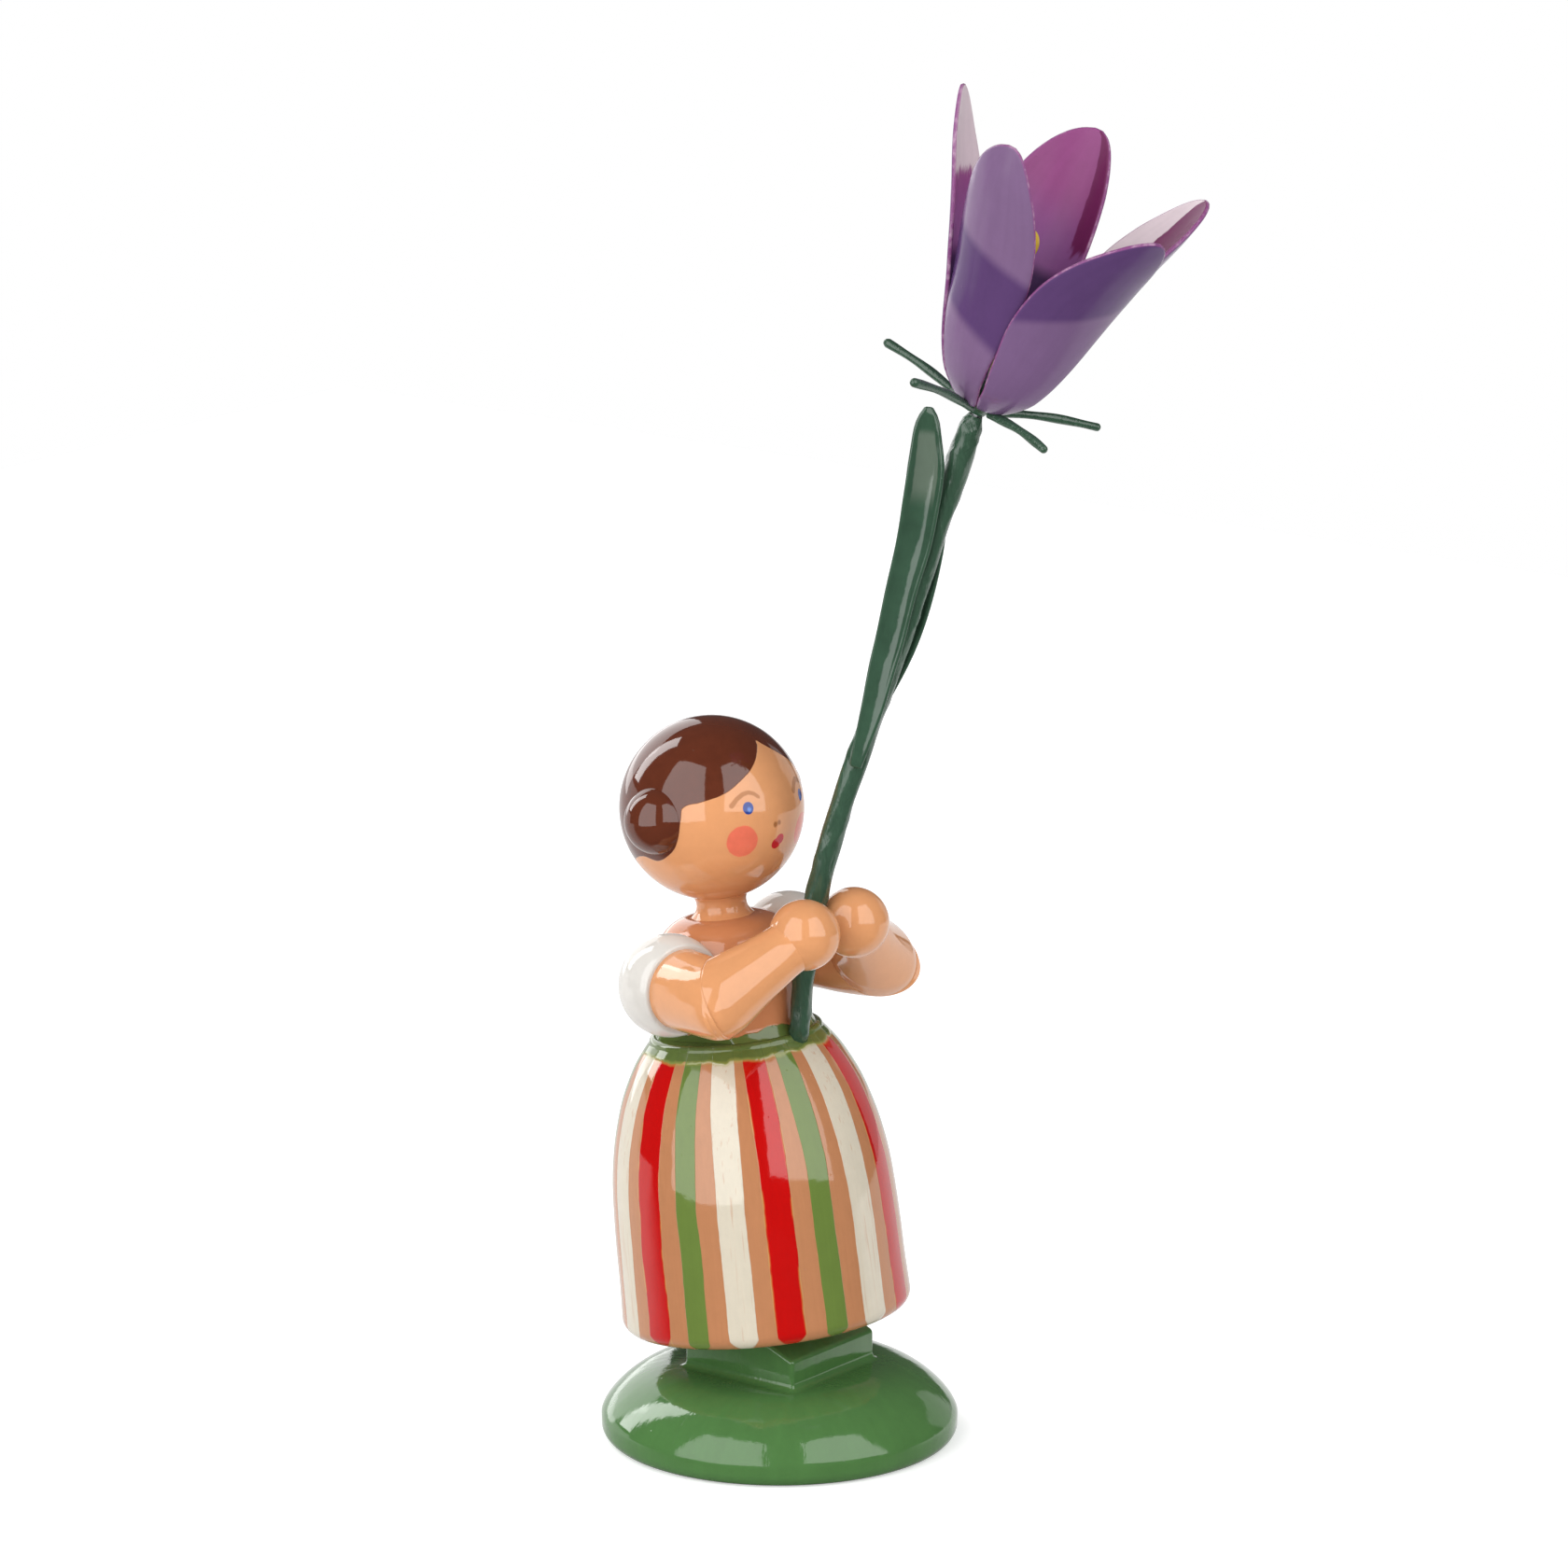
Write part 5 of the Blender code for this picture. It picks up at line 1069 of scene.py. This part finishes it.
def build_sleeves(white):
    """Beads that end in a flat cuff with an eased edge."""
    closing_angle, cuff_ease, cuff_dish = 0.05, 0.1, 0.05
    cuff = sqrt(SLEEVE_RADIUS ** 2 - SLEEVE_CUFF_RADIUS ** 2)
    end = asin((cuff - cuff_ease) / SLEEVE_RADIUS)
    ball = arc((0.0, 0.0), SLEEVE_RADIUS, -QUARTER_TURN + closing_angle, end, 60)
    edge = [(SLEEVE_CUFF_RADIUS - inset, cuff + rise) for inset, rise in ((0.06, 0.02), (0.2, 0.0))]
    form = lathe([(0.0, -SLEEVE_RADIUS)] + ball + edge + [(0.0, cuff - cuff_dish)], segments=128)
    for label in SIDES:
        centre = sleeve_centre(label)
        matrix = FIGURE @ frame_from(centre, elbow_point(label) - centre, LEFT_SIDE)
        add_piece("sleeve_" + label, form, matrix, white)


def arm_rings(start, elbow, other, radii):
    """Rings along an arm up to the mitre plane at the elbow, with the outer corner rounded.

    The other end is the far end of the neighbouring arm; radii holds (share, radius)."""
    axis = (elbow - start).normalized()
    onward = (other - elbow).normalized()
    normal = (axis + onward).normalized()
    outward = (axis * axis.dot(onward) - onward).normalized()
    level = axis.cross(outward)
    rings = []
    for share, radius in radii:
        ring = []
        for angle in circle(96):
            spread = outward * cos(angle) + level * sin(angle)
            to_plane = (elbow - start - spread * radius).dot(normal) / axis.dot(normal)
            left = to_plane * (1.0 - share)
            near = max(0.0, 1.0 - left / ELBOW_CORNER_REACH) ** 2
            cut = ELBOW_CORNER_CUT * max(0.0, cos(angle)) * near
            ring.append(start + spread * (radius - cut) + axis * (to_plane - left))
        rings.append(ring)
    return rings


def build_arms(skin):
    near_elbow = (0.86, 0.89, 0.92, 0.95, 0.975, 0.99)
    wrist_share, forearm_share, template_share, fillet_share = 0.12, 0.72, 0.85, 0.22
    for label in SIDES:
        shoulder, elbow, hand = sleeve_centre(label), elbow_point(label), hand_centre(label)
        corner = ELBOW_RADIUS[label]
        elbow_end = [(1.0, corner - ELBOW_TUCK)]
        upper = [(0.1, UPPER_ARM_RADIUS), (0.4, UPPER_ARM_RADIUS - 0.02)]
        upper += [(0.6, corner + 0.08), (0.8, corner + 0.03)]
        upper += [(share, corner + 0.01) for share in near_elbow] + elbow_end
        template = ((0.0, WRIST_RADIUS), (0.5, FOREARM_MIDDLE_RADIUS), (1.0, corner))
        fore = []
        for share in shares(20):
            fillet = WRIST_FILLET * max(0.0, 1.0 - share / fillet_share) ** 2
            radius = sample(template, template_share * share) + fillet
            fore.append((wrist_share + forearm_share * share, radius))
        fore += [(share, sample(template, share)) for share in near_elbow] + elbow_end
        form = tube(arm_rings(shoulder, elbow, hand, upper))
        add_piece("upper_arm_" + label, form, FIGURE, skin)
        form = tube(arm_rings(hand, elbow, shoulder, fore))
        add_piece("forearm_" + label, form, FIGURE, skin)


def build_hands(skin):
    form = lathe(ball_profile(HAND_RADIUS, 56), segments=112)
    for label in SIDES:
        matrix = FIGURE @ Matrix.Translation(hand_centre(label))
        add_piece("hand_" + label, form, matrix, skin)


# Stem and leaves, in the row frame
def stem_path():
    foot = UP * SKIRT_HEIGHT
    bends = [FIGURE @ (foot + Vector(point) * STEM_HEIGHT) for point in STEM_BENDS]
    return smooth_path(bends, 14)


def stem_point(path, share):
    """Point of the stem's centre line at a share of its height."""
    height = path[0].z + (path[-1].z - path[0].z) * share
    for lower, upper in zip(path, path[1:]):
        if height <= upper.z:
            return lower.lerp(upper, (height - lower.z) / (upper.z - lower.z))
    direction = (path[-1] - path[-2]).normalized()
    return path[-1] + direction * ((height - path[-1].z) / direction.z)


def build_stem(path, material):
    """Wrapped stem, lumpy and with a slanting ridge where the paper's edge runs around it."""
    rng = random.Random(7)
    lumps = [(*lump, rng.uniform(0.0, 2.0 * pi)) for lump in STEM_LUMPS]
    ridge_height, ridge_turns, narrowness = 0.07, 60.0, 18.0
    rings = []
    for share, (centre, _, side, up) in zip(shares(len(path) - 1), path_frames(path)):
        girth = sample(STEM_GIRTH, share)
        ring = []
        for angle in circle(40):
            radius = girth
            for height, lobes, turns, phase in lumps:
                radius += height * sin(lobes * angle + turns * share + phase)
            from_ridge = 1.0 - cos(angle - ridge_turns * share)
            radius += ridge_height * exp(-narrowness * from_ridge)
            ring.append(centre + (side * cos(angle) + up * sin(angle)) * radius)
        rings.append(ring)
    add_piece("stem_wrap", tube(rings), ROW, material)


def build_leaves(path, material):
    lengths = shares(56)
    widths = [2.0 * share - 1.0 for share in shares(14)]
    for label, leaf in LEAVES.items():
        spine = []
        for t in lengths:
            away = plan_direction(leaf["lift_bearing"]) * leaf["lift"] * sample(leaf["lift_curve"], t)
            beside = plan_direction(sample(leaf["bearing"], t)) * LEAF_FROM_STEM
            spine.append(stem_point(path, leaf["foot"] + (leaf["tip"] - leaf["foot"]) * t) + beside + away)
        rows = []
        for t, (centre, tangent, _, _) in zip(lengths, path_frames(spine)):
            across = tangent.cross(plan_direction(leaf["facing"])).normalized()
            face = across.cross(tangent).normalized()
            half_angle = leaf["half_width"] * sample(leaf["outline"], t) / LEAF_CHANNEL_RADIUS
            row = []
            for angle in [half_angle * width for width in widths]:
                bent = across * sin(angle) + face * (1.0 - cos(angle))
                row.append(centre + bent * LEAF_CHANNEL_RADIUS)
            rows.append(row)
        form, _, _, marks = sheet(rows, LEAF_THICKNESS)
        attributes = {"length": [lengths[i] for i, _ in marks], "across": [widths[j] for _, j in marks]}
        add_piece("leaf_" + label, form, ROW, material, attributes=attributes)


# Bloom
def bloom_matrix(path):
    axis = Vector((*BLOOM_LEAN, 1.0)).normalized()
    return frame_from(path[-1] + axis * (RECEPTACLE_DROP + GLUE_GAP), axis, plan_direction(BLOOM_TURN))


def petal_point(t, across, petal):
    """Point of a petal's mid surface; across runs from -1 to 1 over its width."""
    azimuth = petal["azimuth"] + petal["twist"] * t
    opening = 1.0 + (petal["reach"] - 1.0) * t + petal["belly"] * 4.0 * t * (1.0 - t)
    layer = petal["layer"] * PETAL_LAYER * min(t / PETAL_LAYER_START, 1.0)
    radius = sample(PETAL_REACH_CURVE, t) * PETAL_REACH * opening + layer
    height = sample(PETAL_HEIGHT_CURVE, t) * PETAL_HEIGHT * (1.0 + (petal["rise"] - 1.0) * t)
    mix = min(max((t - PETAL_CUP_START) / (PETAL_CUP_END - PETAL_CUP_START), 0.0), 1.0)
    mix = mix * mix * (3.0 - 2.0 * mix)
    cup = radius + (PETAL_CUP_RADIUS * petal["cup"] - radius) * mix
    spread = petal["foot"] + (petal["width"] - petal["foot"]) * mix
    shift = PETAL_HALF_WIDTH * (petal["skew"] * t ** 4 + petal["corner"] * t ** 20)
    angle = (across * sample(PETAL_OUTLINE, t) * PETAL_HALF_WIDTH * spread + shift) / cup
    roll = azimuth + petal["roll"] * mix
    lean = PETAL_EDGE_LIFT * mix
    inward = UP * sin(lean) - plan_direction(roll) * cos(lean)
    bent = plan_direction(roll + 90.0) * sin(angle) + inward * (1.0 - cos(angle))
    return plan_direction(azimuth) * radius + bent * cup + UP * height


def petal_zones(index, t, across):
    """Signed shares inside the petal's painted zones: the paler outside and the pale tip, both painted
    reflections, and the dark strip.
    """
    direction, level, slant, foot, _ = PETAL_OUTSIDE_REFLECTION_ZONES[index]
    outside = max(direction * (t - level - slant * across), foot - 0.05 * across - t)
    # The pale tip is a painted reflection.
    factor, offset, start = PETAL_TIP_REFLECTION_ZONES[index]
    pale = min(factor * across + offset, t - start)
    side, width = PETAL_DARK_STRIPS[index]
    return outside, pale, min(side * across - width, t - PETAL_STRIP_START)


def build_petals(matrix, material):
    lengths = [1.0 - (1.0 - share) ** 1.5 for share in shares(60)]
    widths = [2.0 * share - 1.0 for share in shares(28)]
    for index, values in enumerate(PETALS):
        petal = dict(zip(PETAL_KEYS, values), corner=PETAL_CORNERS[index])
        rows = [[petal_point(t, across, petal) for across in widths] for t in lengths]
        form, side, edge, marks = sheet(rows, PETAL_THICKNESS)
        zones = [petal_zones(index, lengths[i], widths[j]) for i, j in marks]
        attributes = {
            "side": [-value for value in side],
            "edge": edge,
            "length": [lengths[i] for i, _ in marks],
            "across": [widths[j] for _, j in marks],
            "outside_reflection_strength": [PETAL_OUTSIDE_REFLECTION_ZONES[index][-1]] * len(marks),
        }
        attributes.update(zip(("outside_reflection_zone", "tip_reflection_zone", "strip_zone"), zip(*zones)))
        add_piece("petal_" + str(index + 1), form, matrix, material, 70.0, attributes)


def build_bracts(matrix, material):
    steps, segments, lump_height, lump_turns = 24, 16, 0.1, 11.0
    tip_rings = ((0.9, 0.42), (0.7, 0.72), (0.35, 0.95))
    for number, (bearing, rise, length) in enumerate(BRACTS, start=1):
        outward = plan_direction(bearing)
        start = outward * BRACT_START + UP * BRACT_LEVEL
        end = outward * BRACT_REACH * length + UP * (BRACT_LEVEL + BRACT_RISE * rise)
        path = [start.lerp(end, t) + UP * BRACT_SAG * sin(pi * t) for t in shares(steps)]
        rings = []
        for share, (centre, tangent, side, up) in zip(shares(steps), path_frames(path)):
            radius = BRACT_RADIUS * (1.0 + lump_height * sin(lump_turns * share + number))
            rings.append(round_ring(centre, side, up, radius, segments))
        for share, shift in tip_rings:
            point = centre + tangent * BRACT_RADIUS * shift
            rings.append(round_ring(point, side, up, BRACT_RADIUS * share, segments))
        add_piece("bract_" + str(number), tube(rings), matrix, material)


def build_receptacle(matrix, material):
    profile = [
        (0.0, -0.8), (0.62, -0.8), (0.74, -0.6), (0.94, -0.35), (1.25, -0.05), (1.42, 0.4), (1.44, 0.95),
        (1.3, 1.4), (0.95, 1.75), (0.6, 1.9), (0.0, 1.92),
    ]
    add_piece("receptacle", lathe(profile, segments=48), matrix, material)


def build_pistil(matrix, material):
    direction = Vector((-sin(PISTIL_LEAN), 0.0, cos(PISTIL_LEAN)))
    foot, knee = UP * PISTIL_FOOT, UP * (PISTIL_FOOT + PISTIL_STRAIGHT)
    end = knee + direction * PISTIL_LENGTH
    path = smooth_path([foot, knee, knee.lerp(end, 0.5), end], 10)
    rings = [round_ring(centre, side, up, PISTIL_RADIUS, 20) for centre, _, side, up in path_frames(path)]
    add_piece("pistil_rod", tube(rings), matrix, material)
    egg = [(radius * PISTIL_TIP_RADIUS, height * PISTIL_TIP_HALF) for radius, height in ball_profile(1.0, 24)]
    place = matrix @ frame_from(end + direction * PISTIL_TIP_SHIFT, direction, BACKWARD)
    add_piece("pistil_tip", lathe(egg, segments=40), place, material)


# Studio
def camera_axes():
    """Level direction away from the camera, and right, up and towards it as a matrix."""
    ahead = Vector((-sin(CAMERA_BEARING), cos(CAMERA_BEARING), 0.0))
    upward = ahead * sin(CAMERA_PITCH) + UP * cos(CAMERA_PITCH)
    nearer = UP * sin(CAMERA_PITCH) - ahead * cos(CAMERA_PITCH)
    return ahead, Matrix((ahead.cross(UP), upward, nearer)).transposed()


def add_camera():
    ahead, axes = camera_axes()
    data = bpy.data.cameras.new("camera")
    data.lens = CAMERA_LENS
    data.sensor_width = CAMERA_SENSOR
    data.clip_start = CAMERA_CLIP
    camera = add_object("camera", data)
    place = UP * CAMERA_HEIGHT - ahead * CAMERA_DISTANCE + ahead.cross(UP) * CAMERA_SIDESTEP
    camera.matrix_world = Matrix.Translation(place) @ axes.to_4x4()
    bpy.context.scene.camera = camera


def add_panel(name, centre, along, width, height, radiance):
    """Area light that faces the target, placed and turned by the camera's axes."""
    _, axes = camera_axes()
    away, long_axis = axes @ Vector(centre), (axes @ Vector(along)).normalized()
    back = away - long_axis * away.dot(long_axis)
    data = bpy.data.lights.new(name, "AREA")
    data.shape = "RECTANGLE"
    data.size = width
    data.size_y = height
    data.energy = radiance * pi * width * height
    light = add_object(name, data)
    light.matrix_world = frame_from(LIGHT_TARGET + away, back, long_axis.cross(back))
    light.visible_camera = False


def add_light():
    for name, panel in PANELS.items():
        add_panel(name, *panel)
    world = bpy.data.worlds.new("studio")
    bpy.context.scene.world = world
    world.use_nodes = True
    sky = Nodes(world.node_tree)
    glow = sky.mix(sky.ray("Is Glossy Ray"), SKY, SKY_REFLECTED)
    glow = sky.mix(sky.ray("Is Camera Ray"), glow, WHITE)
    sky.feed(world.node_tree.nodes["Background"].inputs["Color"], glow)


def add_floor():
    """Pale floor that reads as white except where the figurine shades it. Reflections show it
    dark in front of the figurine and bright behind it."""
    mesh = bpy.data.meshes.new("floor")
    corners = [(-FLOOR_HALF, -FLOOR_HALF, 0.0), (FLOOR_HALF, -FLOOR_HALF, 0.0)]
    corners += [(FLOOR_HALF, FLOOR_HALF, 0.0), (-FLOOR_HALF, FLOOR_HALF, 0.0)]
    mesh.from_pydata(corners, [], [(0, 1, 2, 3)])
    floor = add_object("floor", mesh)
    floor.location = UP * -FLOOR_DROP
    paint = Paint("floor_white", own=False)
    glossy, seen = paint.ray("Is Glossy Ray"), paint.ray("Is Camera Ray")
    pale = paint.shade(FLOOR_PALE, paint.noise(0.02, detail=2.0), 0.02)
    x, y, _ = paint.split(paint.place)
    ahead, _ = camera_axes()
    behind = x * ahead.x + y * ahead.y
    paint.set(
        Base_Color=paint.mix(glossy, pale, FLOOR_REFLECTED),
        Roughness=0.9,
        Specular_IOR_Level=0.0,
        Emission_Color=WHITE,
        Emission_Strength=seen * FLOOR_GLOW + glossy * paint.span(behind, *FLOOR_FADE, 0.0, FLOOR_MIRRORED),
    )
    mesh.materials.append(paint.material)


def dress_hidden_nodes():
    """Wood and wire looks for the frame's pieces that stay inside the figurine."""
    wood, wire = wood_material(), wire_material()
    looks = {"figure_dowel": wood, "shoulder_pin_left": wood, "shoulder_pin_right": wood, "stem_wire": wire}
    for name, look in looks.items():
        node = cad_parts[name]
        node.data.materials.clear()
        node.data.materials.append(look)


def main():
    skin = Paint("skin_paint").lacquer(SKIN)
    hair = Paint("hair_paint").lacquer(HAIR)
    white = Paint("sleeve_paint").lacquer(SLEEVE_WHITE)
    yellow = Paint("pistil_paint").lacquer(PISTIL_YELLOW, roughness=0.2)
    green = base_material()
    stem = stem_material()
    build_base(green)
    build_foot_block(green)
    build_skirt()
    build_bodice()
    build_neck(skin)
    build_head()
    build_buns(hair)
    build_sleeves(white)
    build_arms(skin)
    build_hands(skin)
    path = stem_path()
    build_stem(path, stem)
    build_leaves(path, leaf_material())
    bloom = bloom_matrix(path)
    build_receptacle(bloom, stem)
    build_petals(bloom, petal_material())
    build_bracts(bloom, stem)
    build_pistil(bloom, yellow)
    dress_hidden_nodes()
    add_floor()
    add_light()
    add_camera()
    bpy.context.scene.view_settings.view_transform = "Standard"


main()
